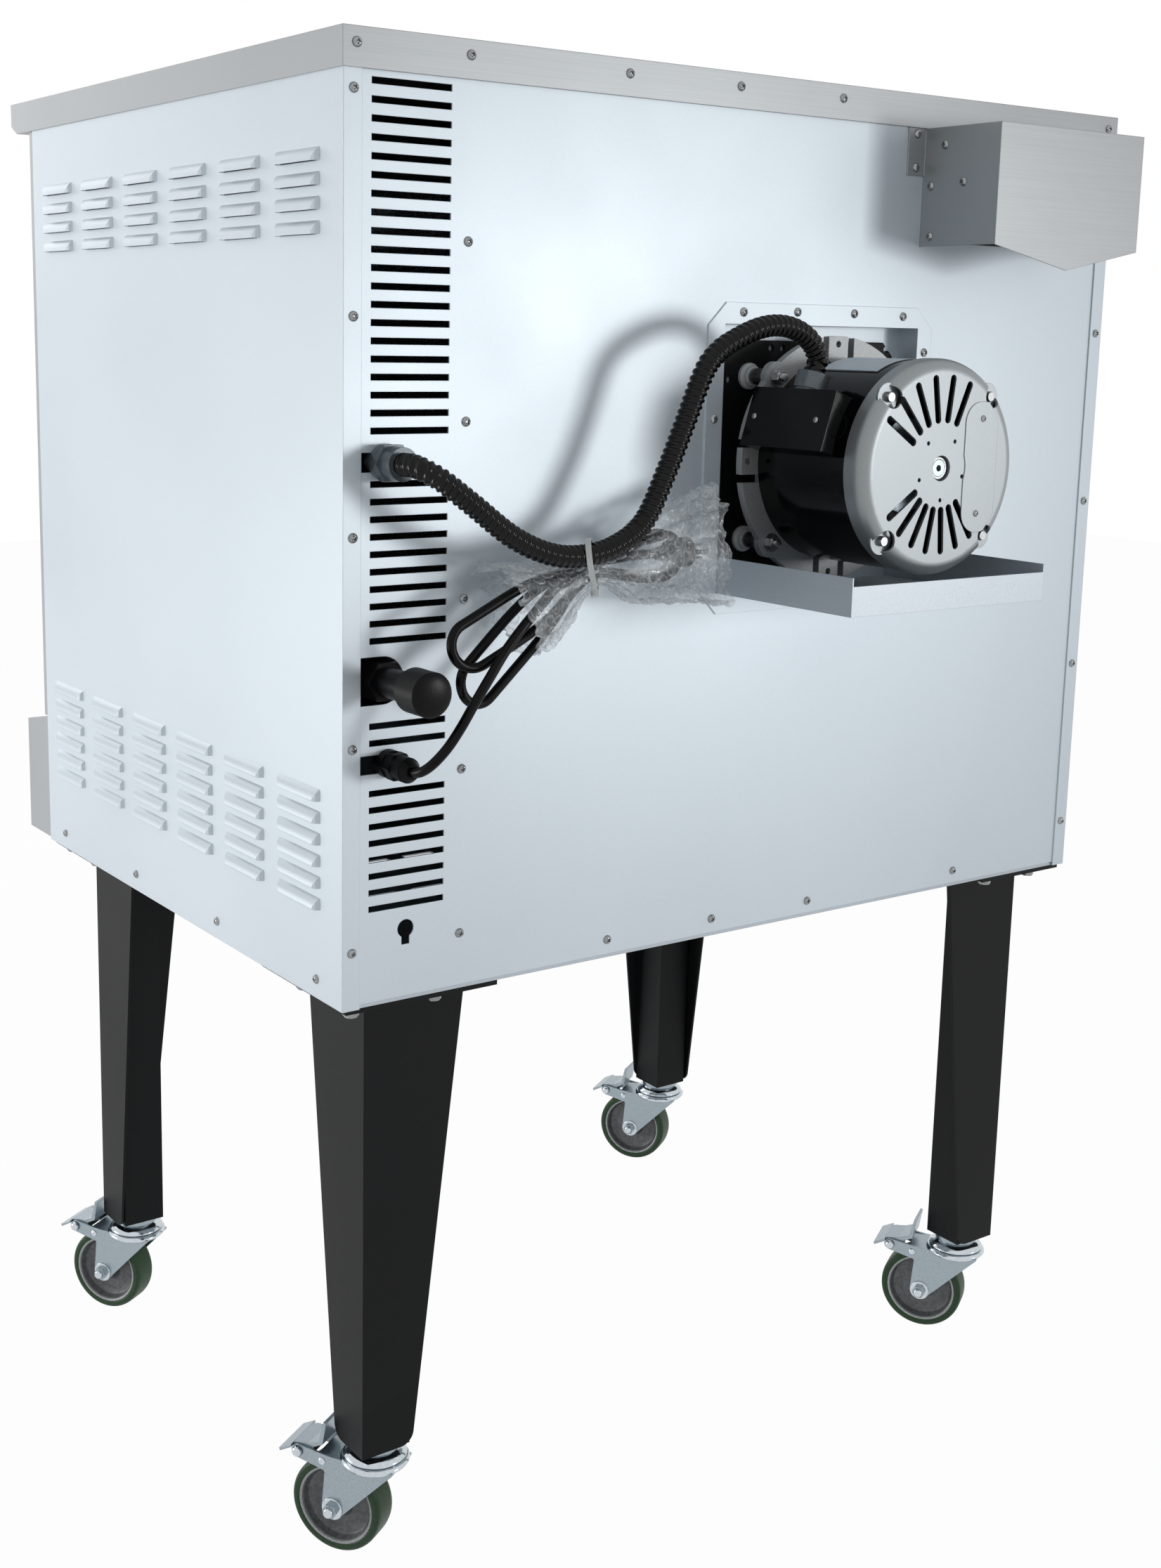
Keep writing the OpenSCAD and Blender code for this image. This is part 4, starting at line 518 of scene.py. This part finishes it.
def make_conduit():
    """Flexible conduit: its radius falls from crest to root and back over each rib pitch, and the
    ribs wind round it once per pitch, as rolled strip does."""
    path, length = evenly(curve_through(CONDUIT_ROUTE, 10), 900)
    run = np.linspace(0, length, len(path))[:, None]
    sides = 28
    angle = np.linspace(0, TAU, sides, endpoint=False)[None, :]
    wave = np.cos(TAU * run / RIB_PITCH - angle)
    end = np.clip(np.minimum(run, length - run) / PLAIN_END, 0, 1)
    radius = CONDUIT_D / 2 - RIB_DEPTH * end * np.clip(0.5 - 0.75 * wave, 0, 1)
    shape = Shape().grid(pipe(path, radius, sides), caps=(True, True))
    made = shape.piece("ribbed_conduit", CONDUIT_BLACK, "cabinet", "conduit_black", ["conduit"],
                       smooth=60)
    return length


CORD_D = 9.0
HANK_WAIST = np.array([266.0, 55.0, 398.0])
HANK_TURN = -34.5
HANK_SWING = 8
HANK_REACH = 162.5
HANK_STAGGER = 3.5
HANK_BEHIND = 100
HANK_RISE = math.radians(4)
HANK_FOLD = 20
HANK_SPREAD = 2
HANK_PINCH = 5.3
HANK_DRAW = 45
HANK_ROUND = 16
HANK_LAYER = 10.2
HANK_FRONT = 67


def hank_point(t):
    """A turn of the hank as the part's source draws it: in through the waist, round the far fold,
    out again and round the fold at the mouth, with the two runs drawn together at the waist. Each
    turn swings to the other side of the one before and lies one layer further back."""
    swing = np.cos(math.pi * (t - 5 / 6))
    q = 4 * (t - np.floor(t))
    fold = HANK_FOLD + HANK_SPREAD * swing
    far = HANK_REACH - HANK_STAGGER * swing - fold
    near = HANK_BEHIND - fold
    turn = math.pi * (q - np.where(q < 2, 1, 3))
    quarter = [q < 1, q < 2, q < 3]
    along = np.select(quarter, [far - q * (far + near), -near - fold * np.sin(turn),
                                -near + (q - 2) * (far + near)], far + fold * np.sin(turn))
    aside = np.select(quarter, [fold, fold * np.cos(turn), -fold], -fold * np.cos(turn))
    a = np.radians(HANK_TURN + HANK_SWING * swing)
    b = HANK_RISE
    root = np.sqrt(along**2 + HANK_ROUND**2)
    out = (root + along) / 2
    back = (root - along) / 2
    way = unit(np.stack([out * np.cos(a) + back * math.cos(b), out * np.sin(a) - back * math.sin(b)], 1))
    aside = aside * (1 - (1 - HANK_PINCH / fold) * np.exp(-(along / HANK_DRAW) ** 2))
    x = HANK_WAIST[0] + out * np.cos(a) - back * math.cos(b) - aside * way[:, 1]
    z = HANK_WAIST[2] + out * np.sin(a) + back * math.sin(b) + aside * way[:, 0]
    return np.stack([x, HANK_FRONT - HANK_LAYER * t, z], 1)


def mains_lead_path():
    """Whole lead: out of the gland, into the hank, round its turns and along to the plug."""
    per_turn = 96
    hank = hank_point(np.arange(12, 209) / per_turn)
    start = unit(hank[1] - hank[0])
    gland = curve_through([[438, 32, 224], [438, 40, 224], [438, 49, 225], [436, 58, 229],
                           [430, 65, 237], [420, 70, 250], [408, 72, 267], [395, 72, 286],
                           [380, 72, 307], [364, 71, 328], [347, 70, 346], [330, 68, 361],
                           hank[0] - 12 * start, hank[0]], 6)
    tail = curve_through([hank[-4], hank[-1], [243, 44, 400], [226, 41, 400], [208, 39, 401],
                          [190, 38, 402], [172, 38, 402]], 4)
    return np.vstack([gland[:-1], hank, tail[5:]])


def make_mains_lead():
    """Round sheath along the whole lead."""
    path, length = evenly(mains_lead_path(), 700)
    shape = Shape().grid(pipe(path, CORD_D / 2, 14), caps=(True, True))
    made = shape.piece("mains_lead", CORD, "cabinet", "cord_rubber", ["power_cord", "cord_hank"],
                       smooth=60)
    return length


# Stations along the film: its top edge's x and z, its bottom edge's x and z, the middle's y and
# half its depth
WRAP = np.array([[374, 404, 320, 317, 43, 34], [352, 404, 304, 323, 43, 34],
                 [320, 402, 288, 340, 46, 30], [296, 402, 276, 361, 51, 24],
                 [270, 409, 257, 379, 55, 17.8], [243, 412, 240, 376, 53, 20],
                 [212, 432, 208, 358, 51, 26], [170, 452, 165, 355, 48, 29],
                 [135, 462, 128, 352, 46, 30], [114, 468, 96, 345, 45, 30]], float)
WRAP_LAST = len(WRAP) - 1
WRAP_WAIST = 4.0
FILM_RADIUS = 39.0
CUSHION_PITCH = 12.4
CUSHION_ROW = 0.87 * CUSHION_PITCH
CUSHION_REACH = 0.4
CUSHION_RISE = 2.2
# Where the painted highlight ring lies on each cushion, and how wide it is
GLINT_RING = 0.37
GLINT_WIDTH = 0.055


def film_folds(s, t):
    """Pleats, crumples and the ends' ragged slide, as sums of cosines of the place s along the film
    and the angle t round it. spread is 0 at the waist and 1 at the ends."""
    spread = np.clip(np.abs(s - WRAP_WAIST) / 4.0, 0, 1)
    pleat = np.cos(8 * t + 1.1 * np.sin(0.9 * s) + 0.6) + 0.7 * np.cos(13 * t - 0.8 * s + 2.0)
    pleat = pleat + 0.6 * np.cos(5 * t + 1.7 * s)
    crumple = (np.cos(3 * t + 2.3 * s) * np.cos(4.1 * s - 2 * t) + 0.7 * np.sin(17 * t + 5.3 * s)
               + 0.5 * np.sin(23 * t - 7.1 * s) + 0.5 * np.cos(9.7 * s + 6 * t))
    pull = 0.90 - 0.045 * pleat * (0.5 + spread) - 0.02 * crumple * spread ** 0.5 + 0.03 * spread
    ragged = np.cos(7 * t + 0.4) + 0.7 * np.cos(12 * t + 2.0) + 0.5 * np.cos(23 * t)
    ragged = ragged + 0.4 * np.cos(31 * t + 1)
    to_end = WRAP_LAST - s
    slide = 4.0 * ragged * (np.exp(-s / 0.35) - np.exp(-to_end / 0.35)) - 6 * np.exp(-s / 0.5)
    slide = slide + 12 * np.clip(np.sin(t), 0, 1) ** 2 * np.exp(-to_end / 0.5)
    return spread, pleat, np.minimum(pull, 1.0), slide


def film_cushions(along, s, t):
    """Round cushions in staggered rows: the height is the square root of one less the squared distance
    from the middle, uneven from place to place, and the second value, a painted highlight, is 1 on a ring
    near the edge."""
    row = np.round(along / CUSHION_ROW)
    u = (t * FILM_RADIUS / CUSHION_PITCH + 0.5 * (row % 2) + 0.12 * np.sin(row * 2.1)) % 1 - 0.5
    v = along / CUSHION_ROW - row
    off = np.sqrt(u * u + 0.76 * v * v)
    uneven = np.sin(3.3 * s + 2 * t) + np.sin(5 * t - 4.7 * s)
    height = np.sqrt(np.clip(1 - (off / CUSHION_REACH) ** 2, 0, 1))
    height = height * np.clip(0.75 + 0.4 * uneven, 0.15, 1)
    return height, np.exp(-(((off - GLINT_RING) / GLINT_WIDTH) ** 2))


def make_film_wrap():
    """Cushioned film gathered at its waist. Each ring runs round a top and a bottom edge; pleats
    push it in by a share that grows from the waist, and the cushions stand out along its normal."""
    rows, cols = 330, 252
    station = np.linspace(0, WRAP_LAST, rows)
    steps = np.stack([curve_through(WRAP[:, [k, k, k]], 40)[:, 0] for k in range(6)], 1)
    ring = np.stack([np.interp(station, np.linspace(0, WRAP_LAST, len(steps)), steps[:, k])
                     for k in range(6)], 1)
    t = np.linspace(0, TAU, cols, endpoint=False)[None, :]
    s = station[:, None]
    spread, pleat, pull, slide = film_folds(s, t)
    boxy_cos = np.sign(np.cos(t)) * np.abs(np.cos(t)) ** 0.8
    boxy_sin = np.sign(np.sin(t)) * np.abs(np.sin(t)) ** 0.8
    mid = (ring[:, 0:2] + ring[:, 2:4]) / 2
    half = (ring[:, 0:2] - ring[:, 2:4]) / 2
    way = unit(np.gradient(mid, axis=0))
    x = mid[:, :1] + half[:, :1] * boxy_cos * pull - way[:, :1] * slide
    z = mid[:, 1:] + half[:, 1:] * boxy_cos * pull - way[:, 1:] * slide
    y = ring[:, 4:5] + ring[:, 5:6] * boxy_sin * pull
    sheet = np.stack([x, y, z], -1)
    along = np.cumsum(np.linalg.norm(np.gradient(mid, axis=0), axis=1))[:, None]
    height, rim_glint = film_cushions(along, s, t)
    normal = np.cross(np.gradient(sheet, axis=1), np.gradient(sheet, axis=0))
    normal = normal / np.maximum(np.linalg.norm(normal, axis=-1, keepdims=True), 1e-9)
    middle = np.stack([mid[:, :1], ring[:, 4:5], mid[:, 1:]], -1)
    normal = normal * np.sign(np.sum(normal * (sheet - middle), -1, keepdims=True))
    sheet = sheet + normal * (height * CUSHION_RISE)[..., None]
    fold_line = np.clip(pleat / 1.6, 0, 1) ** 3 * np.clip(1.2 - 0.5 * spread, 0, 1)
    # the cushion rims go to the film's finish as a painted highlight mask
    return Shape().grid(sheet).piece("cushioned_film", FILM, "cabinet", "clear_film", ["plug_wrap"],
                                     smooth=180, masks={"painted_rim_highlight": rim_glint, "fold_line": fold_line})


TIE_LOW = np.array([258.0, 55.0, 394.0])
TIE_HIGH = np.array([281.0, 80.0, 411.0])
TIE_LOW_R = 20.5
TIE_HIGH_R = 13.2
TIE_HEAD = 1.75
TIE_WIDTH = 5.2
TIE_THICK = 1.4


def make_cable_tie():
    """Nylon strap round the conduit and the film's waist: a flat band whose loop is the outline
    round two circles, closed by a square head."""
    to_high = unit(TIE_HIGH - TIE_LOW)
    hoop_x = np.array([1.0, -0.25, 0.1])
    hoop_x = unit(hoop_x - (hoop_x @ to_high) * to_high)
    side = unit(np.cross(to_high, hoop_x))
    t = np.linspace(0, TAU, 160, endpoint=False)
    reach = np.linalg.norm(TIE_HIGH - TIE_LOW)
    ray = np.stack([np.cos(t), np.sin(t)], 1)
    far = reach * ray[:, 0] + np.sqrt(np.maximum(TIE_HIGH_R**2 - (reach * ray[:, 1]) ** 2, 0))
    lean = math.acos((TIE_LOW_R - TIE_HIGH_R) / reach)
    around = np.abs(np.where(t > math.pi, t - TAU, t))
    tangent = TIE_LOW_R / np.maximum(np.cos(around - lean), 1e-3)
    touch = math.atan2(TIE_HIGH_R * math.sin(lean), reach + TIE_HIGH_R * math.cos(lean))
    radius = np.where(around >= lean, TIE_LOW_R, np.where(around > touch, tangent, far))
    middle = TIE_LOW + radius[:, None] * (ray[:, :1] * to_high + ray[:, 1:] * side)
    across = unit(np.cross(np.roll(middle, -1, 0) - np.roll(middle, 1, 0), hoop_x[None]))
    w, h = TIE_WIDTH / 2, TIE_THICK / 2
    section = np.array([[-w, -h], [w, -h], [w, h], [-w, h]])
    band = middle[:, None] + section[None, :, :1] * hoop_x + section[None, :, 1:] * across[:, None]
    shape = Shape().grid(band, wrap_rows=True)
    at = TIE_LOW + TIE_LOW_R * (math.cos(TIE_HEAD) * to_high + math.sin(TIE_HEAD) * side)
    out = unit(at - TIE_LOW)
    head = rounded_box(at + 1.8 * out, hoop_x, np.cross(out, hoop_x), out, (8.4, 9.0, 6.4), 1.2)
    shape.grid(head)
    shape.piece("cable_tie", NYLON, "cabinet", "clear_film", smooth=30)


def rounded_box(centre, ax, ay, az, size, radius):
    """Box with round edges: a sphere's points drawn out to the box by the sign of each direction,
    plus the sphere's own radius."""
    lat = np.linspace(-math.pi / 2, math.pi / 2, 17)
    lon = np.linspace(0, TAU, 32, endpoint=False)
    n = np.stack([np.cos(lat)[:, None] * np.cos(lon)[None],
                  np.cos(lat)[:, None] * np.sin(lon)[None],
                  np.broadcast_to(np.sin(lat)[:, None], (17, 32))], -1)
    n = np.sign(n) * np.abs(n) ** 0.8
    n = n / np.maximum(np.linalg.norm(n, axis=-1, keepdims=True), 1e-9)
    inner = np.maximum(np.asarray(size) / 2 - radius, 0)
    p = np.tanh(n * 9) * inner + n * radius
    return np.asarray(centre) + p[..., :1] * ax + p[..., 1:2] * ay + p[..., 2:] * az


def screw_head(shape, at, out, diameter=9.0, turn=0.3):
    """Pan head with a cross recess: a flat-topped dome, with the height cut down where the point
    lies inside either arm of the cross."""
    r = np.array([0, 0.1, 0.2, 0.3, 0.36, 0.42, 0.5, 0.7, 0.86, 0.96, 1.0, 1.0]) * diameter / 2
    h = np.array([0.31, 0.31, 0.31, 0.305, 0.3, 0.295, 0.285, 0.24, 0.17, 0.09, 0.03, 0.0]) * diameter
    sides = 32
    t = np.linspace(0, TAU, sides, endpoint=False)[None, :] + turn
    x = r[:, None] * np.cos(t)
    y = r[:, None] * np.sin(t)
    reach = diameter * 0.24
    arm = diameter * 0.065
    inside = ((abs(x) < arm) & (abs(y) < reach)) | ((abs(y) < arm) & (abs(x) < reach))
    drop = np.where(inside, -0.16 * diameter, 0.0)
    shape.grid(turned(np.stack([r, h], 1), at, out, sides, drop), caps=(False, True))


WASHER_T = 1.4
CHAMFER = 1.2


def hex_bolt(shape, at, out, across, height, turn=0.0, washer=0.0):
    """Six-sided head with a round chamfer on top, on an optional washer."""
    out = unit(out)
    at = np.asarray(at, float)
    if washer:
        disc = [[0, 0], [washer, 0], [washer, WASHER_T], [0, WASHER_T]]
        shape.grid(turned(disc, at, out, 32))
        at = at + WASHER_T * out
    t = np.linspace(0, TAU, 36, endpoint=False)
    fold = (t + turn) % (TAU / 6) - TAU / 12
    flat = across / 2 / np.cos(fold)
    u, v = axes_across(out)
    ring = np.cos(t)[:, None] * u + np.sin(t)[:, None] * v
    levels = [(0, flat), (height - CHAMFER, flat), (height, across / 2 * 0.95), (height, 0.0)]
    rows = [at + ring * np.broadcast_to(radius, flat.shape)[:, None] + lift * out
            for lift, radius in levels]
    shape.grid(np.array(rows), caps=(True, False))


def make_fasteners():
    """Every panel screw, through bolt and leg bolt, at the places where the part has them."""
    shape = Shape()
    spots = [(x, 1.5, 834) for x in (473, 361, 190, 58, -74, -472)]
    spots += [(475, 0, z) for z in (798, 613, 426, 240, 54)]
    spots += [(-476, 0, z) for z in (614, 427, 240, 53)]
    spots += [(360, -1.5, z) for z in (679, 524, 366, 210, 54)]
    spots += [(x, -1.5, z) for x, z in ((187, 18.5), (54, 18.5), (-78, 17), (-299, 18))]
    spots += [(MOTOR[0] + x, 0, MOTOR[2] + z)
              for x, z in ((108, 142), (38, 143.5), (-39, 143.5), (-108, 142), (141, 40), (-141, 106))]
    spots += [(-180, 0, 808), (-180, 0, 775)]
    for k, (x, y, z) in enumerate(spots):
        screw_head(shape, (x, y, z), BACK, turn=0.35 * k)
    for k, (y, drop) in enumerate(((27, 17.5), (10, 57), (54, 55), (12, 107))):
        screw_head(shape, (-192, y, 814 - drop), (1, 0, 0), turn=0.5 * k)
    for k, y in enumerate((-48, -254, -453, -656)):
        screw_head(shape, (485, y, 18), (1, 0, 0), turn=0.4 * k)
        screw_head(shape, (-485, y, 18), (-1, 0, 0), turn=0.6 * k)
    for s in (-1, 1):
        for t in (-1, 1):
            hex_bolt(shape, (MOTOR[0] + 66.4 * s, 157, MOTOR[2] + 66.4 * t), BACK, 9, 5, turn=0.3 * s)
    for y in (31, 116):
        at = MOTOR + 124.5 * BOX_OUT + 8 * BOX_UP + np.array([0, y, 0])
        screw_head(shape, at, BOX_OUT, 6.0)
    corners = [(427, -56, 1, 1), (427, -702, 1, -1), (-465, -702, -1, -1), (-465, -56, -1, 1)]
    bolts = [[[41, 42], [-47, 42], [41, -47]], [[41, -25], [41, -98], [-75, -25]],
             [[-98, -25], [-25, -98], [-98, -98]], [[-25, 42], [-98, 42], [-75, -75]]]
    for (x, y, sx, sy), found in zip(corners, bolts):
        for p, q in found:
            hex_bolt(shape, (x + sx * p, y + sy * q, -5), (0, 0, -1), 13, 5.5)
    shape.piece("panel_fasteners", SCREW, "cabinet", "screw_steel", ["panel_screws"], smooth=32)


PANEL_X = 393.5
PANEL_Y = -713.0
DIAL_T = 3.0
# For each knob: the height of its middle, its numbers and the degrees from one to the next
DIALS = [(560, ["0", "100", "200", "300", "400", "500"], 54),
         (410, ["0", "10", "20", "30", "40", "50"], 60)]


def numeral(word, size):
    """Outline letters filled and made a mesh: points in millimetres round their own middle."""
    curve = bpy.data.curves.new("numeral", "FONT")
    curve.body = word
    curve.size = size
    curve.extrude = 0.08
    curve.align_x = "CENTER"
    curve.align_y = "CENTER"
    curve.resolution_u = 3
    holder = bpy.data.objects.new("numeral", curve)
    bpy.context.scene.collection.objects.link(holder)
    bpy.context.view_layer.update()
    found = bpy.data.meshes.new_from_object(holder.evaluated_get(bpy.context.evaluated_depsgraph_get()))
    points = np.empty(len(found.vertices) * 3)
    found.vertices.foreach_get("co", points)
    faces = [list(p.vertices) for p in found.polygons]
    bpy.data.objects.remove(holder)
    bpy.data.meshes.remove(found)
    bpy.data.curves.remove(curve)
    return points.reshape(-1, 3), faces


def make_dials():
    """Scales of the two knobs: numbers and ticks at equal steps round each, clockwise as seen from
    the front."""
    shape = Shape()
    for z, words, step in DIALS:
        for k, word in enumerate(words):
            turn = math.radians(step * k)
            at = np.array([PANEL_X + 45 * math.sin(turn), PANEL_Y - 0.05, z + 43 * math.cos(turn)])
            points, faces = numeral(word, 9.5)
            shape.mesh(at + points[:, [0, 2, 1]] * [1, -1, 1], faces)
        for k in range(4 * (len(words) - 1) + 1):
            turn = math.radians(step * k / 4)
            out = np.array([math.sin(turn), 0, math.cos(turn)])
            over = np.array([math.cos(turn), 0, -math.sin(turn)])
            half = 0.55 if k % 4 == 0 else 0.3
            inner = 28.8 if k % 4 == 0 else 30.3
            middle = np.array([PANEL_X, PANEL_Y - DIAL_T, z])
            corners = ((-half, -0.2), (half, -0.2), (half, 0.12), (-half, 0.12))
            ring = [middle + r * out + s * over - d * np.array([0, 1, 0])
                    for r in (inner, 33.0) for s, d in corners]
            shape.grid(np.array(ring).reshape(2, 4, 3), caps=(True, True))
    shape.piece("dial_scales", MOULDED, "cabinet", "black_plastic", smooth=30)


STUD_X = 79.0
STUD_Z = 80.5
PLATE_FACE = -24.0
MOTOR_Y = 20.0
FLANGE_T = 8.0
BELL_Y = 165.0
STUDS = [(MOTOR[0] + s * STUD_X, MOTOR[2] + t * STUD_Z) for s in (-1, 1) for t in (-1, 1)]


def make_motor_studs():
    """The four studs that carry the motor: a threaded rod whose radius waves once per pitch, a white
    bushing with round edges on the plate, a steel spacer, a washer and a nut."""
    shape = Shape()
    t = np.linspace(0, TAU, 24, endpoint=False)[None, :]
    for x, z in STUDS:
        foot = np.array([x, PLATE_FACE, z])
        bush = rounded_profile([[0, 0], [13, 0], [13, 4.4], [10, 5.4], [10, 10], [0, 10]], 1.0)
        shape.grid(turned(bush, foot, BACK, 40), tag=1)
        top = MOTOR_Y - FLANGE_T - PLATE_FACE
        tube = rounded_profile([[4, 9.9], [8, 9.9], [8, top], [4, top]], 0.6)
        shape.grid(turned(tube, foot, BACK, 32))
        seat = np.array([x, MOTOR_Y, z])
        hex_bolt(shape, seat, BACK, 12.5, 6.4, turn=0.2 * x, washer=9.4)
        run = np.linspace(0, 6, 60)[:, None]
        radius = 3.9 - 0.3 * (0.5 + 0.5 * np.cos(TAU * run / 1.25 - t))
        radius = radius * np.clip((6 - run) / 0.8 + 0.75, 0, 1)
        path = seat + BACK * (run + 6.0)
        shape.grid(pipe(path, radius, 24, (1, 0, 0)), caps=(False, True))
    shape.piece("motor_studs", [SCREW, NYLON], "cabinet", "screw_steel", ["motor_standoffs"], smooth=32)


def make_rating_plate():
    """Blank plate rolled to the shell: an arc of the cylinder over its length, raised by its own
    thickness, on a slightly larger black one that shows as its border."""
    shape = Shape()
    shell = 99.5
    steps = 40
    for tag, lift, trim in ((1, 100.5, 0.0), (0, 100.8, 2.2)):
        t = np.linspace(math.radians(61) + trim / 100, math.radians(99) - trim / 100, steps)
        angle = np.append(t, [t[-1], t[0]])
        rows = []
        for y, r in ((44 + trim, shell), (44 + trim, lift), (124 - trim, lift), (124 - trim, shell)):
            radius = np.append(np.full(steps, r), [shell, shell])
            rows.append(np.stack([MOTOR[0] + radius * np.cos(angle), np.full(steps + 2, y),
                                  MOTOR[2] + radius * np.sin(angle)], 1))
        shape.grid(np.array(rows), caps=(True, True), tag=tag)
    shape.piece("rating_plate", [GALVANISED, MOTOR_BLACK], "cabinet", "galvanised", smooth=32)


def make_bell_trim():
    """Screws of the bell's cover plate, and the ring and dark dot at the end of the shaft."""
    shape = Shape()
    for x, z in ((-53, 46), (-50, -44)):
        screw_head(shape, (MOTOR[0] + x, BELL_Y + 0.8, MOTOR[2] + z), BACK, 6.4, turn=0.02 * x * z)
    ring = rounded_profile([[7.4, 0], [11.4, 0], [11.4, 1.4], [10.4, 2.2], [8.2, 2.2], [7.4, 1.4],
                            [7.4, 0]], 0.4)
    shape.grid(turned(ring, (MOTOR[0], BELL_Y - 5, MOTOR[2]), BACK, 48))
    dot = rounded_profile([[0, 0], [3.2, 0], [2.4, 0.7], [0, 0.7]], 0.3)
    shape.grid(turned(dot, (MOTOR[0], BELL_Y - 3, MOTOR[2]), BACK, 24), tag=1)
    shape.piece("bell_trim", [SCREW, MOULDED], "cabinet", "screw_steel", smooth=32)


# Each caster's swivel axis, x and y
CASTERS = [(399, -84), (399, -674), (-437, -674), (-437, -84)]
CASTER_TURN = math.radians(-58.6)
TRAIL = np.array([math.cos(CASTER_TURN), math.sin(CASTER_TURN), 0.0])
AXLE = np.array([-math.sin(CASTER_TURN), math.cos(CASTER_TURN), 0.0])
AXLE_Z = -565.0
AXLE_BACK = 37
FORK_FACE = 21.5


def make_wheels():
    """Each wheel: a grey moulded core with a recessed web and hub, a green tread with round
    shoulders bonded to its rim, and the bright worn lip between them, all turned profiles."""
    core = [[5.2, 18.6], [11.5, 18.6], [13, 17.4], [14, 9], [16, 5.5], [30, 4.5], [36, 6], [38.5, 11.5],
            [39.5, 14], [41.5, 14.6], [41.5, 0]]
    tread = [[41.2, 0], [41.2, 15.4], [43.5, 16.3], [47, 16.2], [49.2, 14.4], [49.9, 11], [50, 0]]
    lip = [[38.4, 12.6], [39.2, 15.0], [41.6, 15.6], [41.9, 14.0]]

    def both_sides(half):
        """Profile for heights above the middle, then the same ones mirrored below it."""
        half = np.asarray(half, float)
        return half, half[::-1] * [1, -1]

    for k, (x, y) in enumerate(CASTERS, 1):
        centre = np.array([x, y, AXLE_Z]) + AXLE_BACK * TRAIL
        shape = Shape()
        top, bottom = both_sides(core)
        bore = [bottom[-1], top[0]]
        inner = np.vstack([rounded_profile(np.vstack([top[:-1], bottom[1:]]), 1.2), bore])
        shape.grid(turned(inner, centre, AXLE, 64), tag=1)
        top, bottom = both_sides(tread)
        outer = np.vstack([top, bottom[1:-1], top[:1]])
        shape.grid(turned(rounded_profile(outer, 0.9), centre, AXLE, 96), tag=0)
        for s in (-1, 1):
            worn = rounded_profile(np.array(lip) * [1, s], 0.5)
            shape.grid(turned(worn, centre, AXLE, 96), tag=2)
        shape.piece(f"rolling_wheel_{k}", [TREAD, CORE, WORN_RIM], f"wheel_{k}", "tread_green",
                    [f"caster_wheel_{k}"], smooth=40)


def make_caster_hardware():
    """Polished parts of each caster: the domed cap under the leg, the rolled lip of the fork's race,
    the axle's round ends on their washers and the domed rivets of the brake, all turned profiles."""
    up = np.array([0.0, 0.0, 1.0])
    cap = rounded_profile([[22.2, -493.8], [24.6, -496.2], [29.6, -498.6], [32.6, -502.4], [31.4, -504.6],
                           [29, -504.6]], 1.6, 6)
    lip = rounded_profile([[31.0, -504.9], [33.4, -505.1], [35.6, -508.2], [33.6, -511.6], [31, -511.8],
                           [31.0, -504.9]], 1.2, 6)
    washer = rounded_profile([[5, 0], [11.5, 0], [11.5, 1.3], [5, 1.3]], 0.4)
    tip = rounded_profile([[5.4, 6.5], [5.4, 9.6], [4.2, 11.4], [0, 11.9]], 0.8)
    rivet = rounded_profile([[5.6, -0.5], [5.2, 1.4], [3.2, 2.9], [0, 3.3]], 0.9)
    small = rounded_profile([[4.2, -0.5], [3.9, 1.0], [2.2, 2.0], [0, 2.2]], 0.6)
    for k, (x, y) in enumerate(CASTERS, 1):
        foot = np.array([x, y, 0.0])
        top = Shape().grid(turned(cap, foot, up, 64))
        top.piece(f"swivel_cap_{k}", POLISHED, "cabinet", "zinc", smooth=50)
        shape = Shape().grid(turned(lip, foot, up, 64))
        for s in (-1, 1):
            side = s * AXLE
            face = foot + FORK_FACE * side
            for profile in (washer, tip):
                shape.grid(turned(profile, face + AXLE_BACK * TRAIL + AXLE_Z * up, side, 32))
            shape.grid(turned(rivet, face + 2 * side + 77 * TRAIL - 512 * up, side, 24))
            shape.grid(turned(small, face + 49 * TRAIL - 516 * up, side, 24))
        shape.piece(f"swivel_hardware_{k}", POLISHED, f"swivel_{k}", "zinc", smooth=50)


make_camera()
make_studio()
dress_nodes()
CONDUIT_LENGTH = make_conduit()
FILM_WRAP = make_film_wrap()
make_cable_tie()
LEAD_LENGTH = make_mains_lead()
make_fasteners()
make_motor_studs()
make_bell_trim()
make_rating_plate()
make_dials()
make_caster_hardware()
make_wheels()

scene = bpy.context.scene
scene.view_settings.view_transform = "Standard"
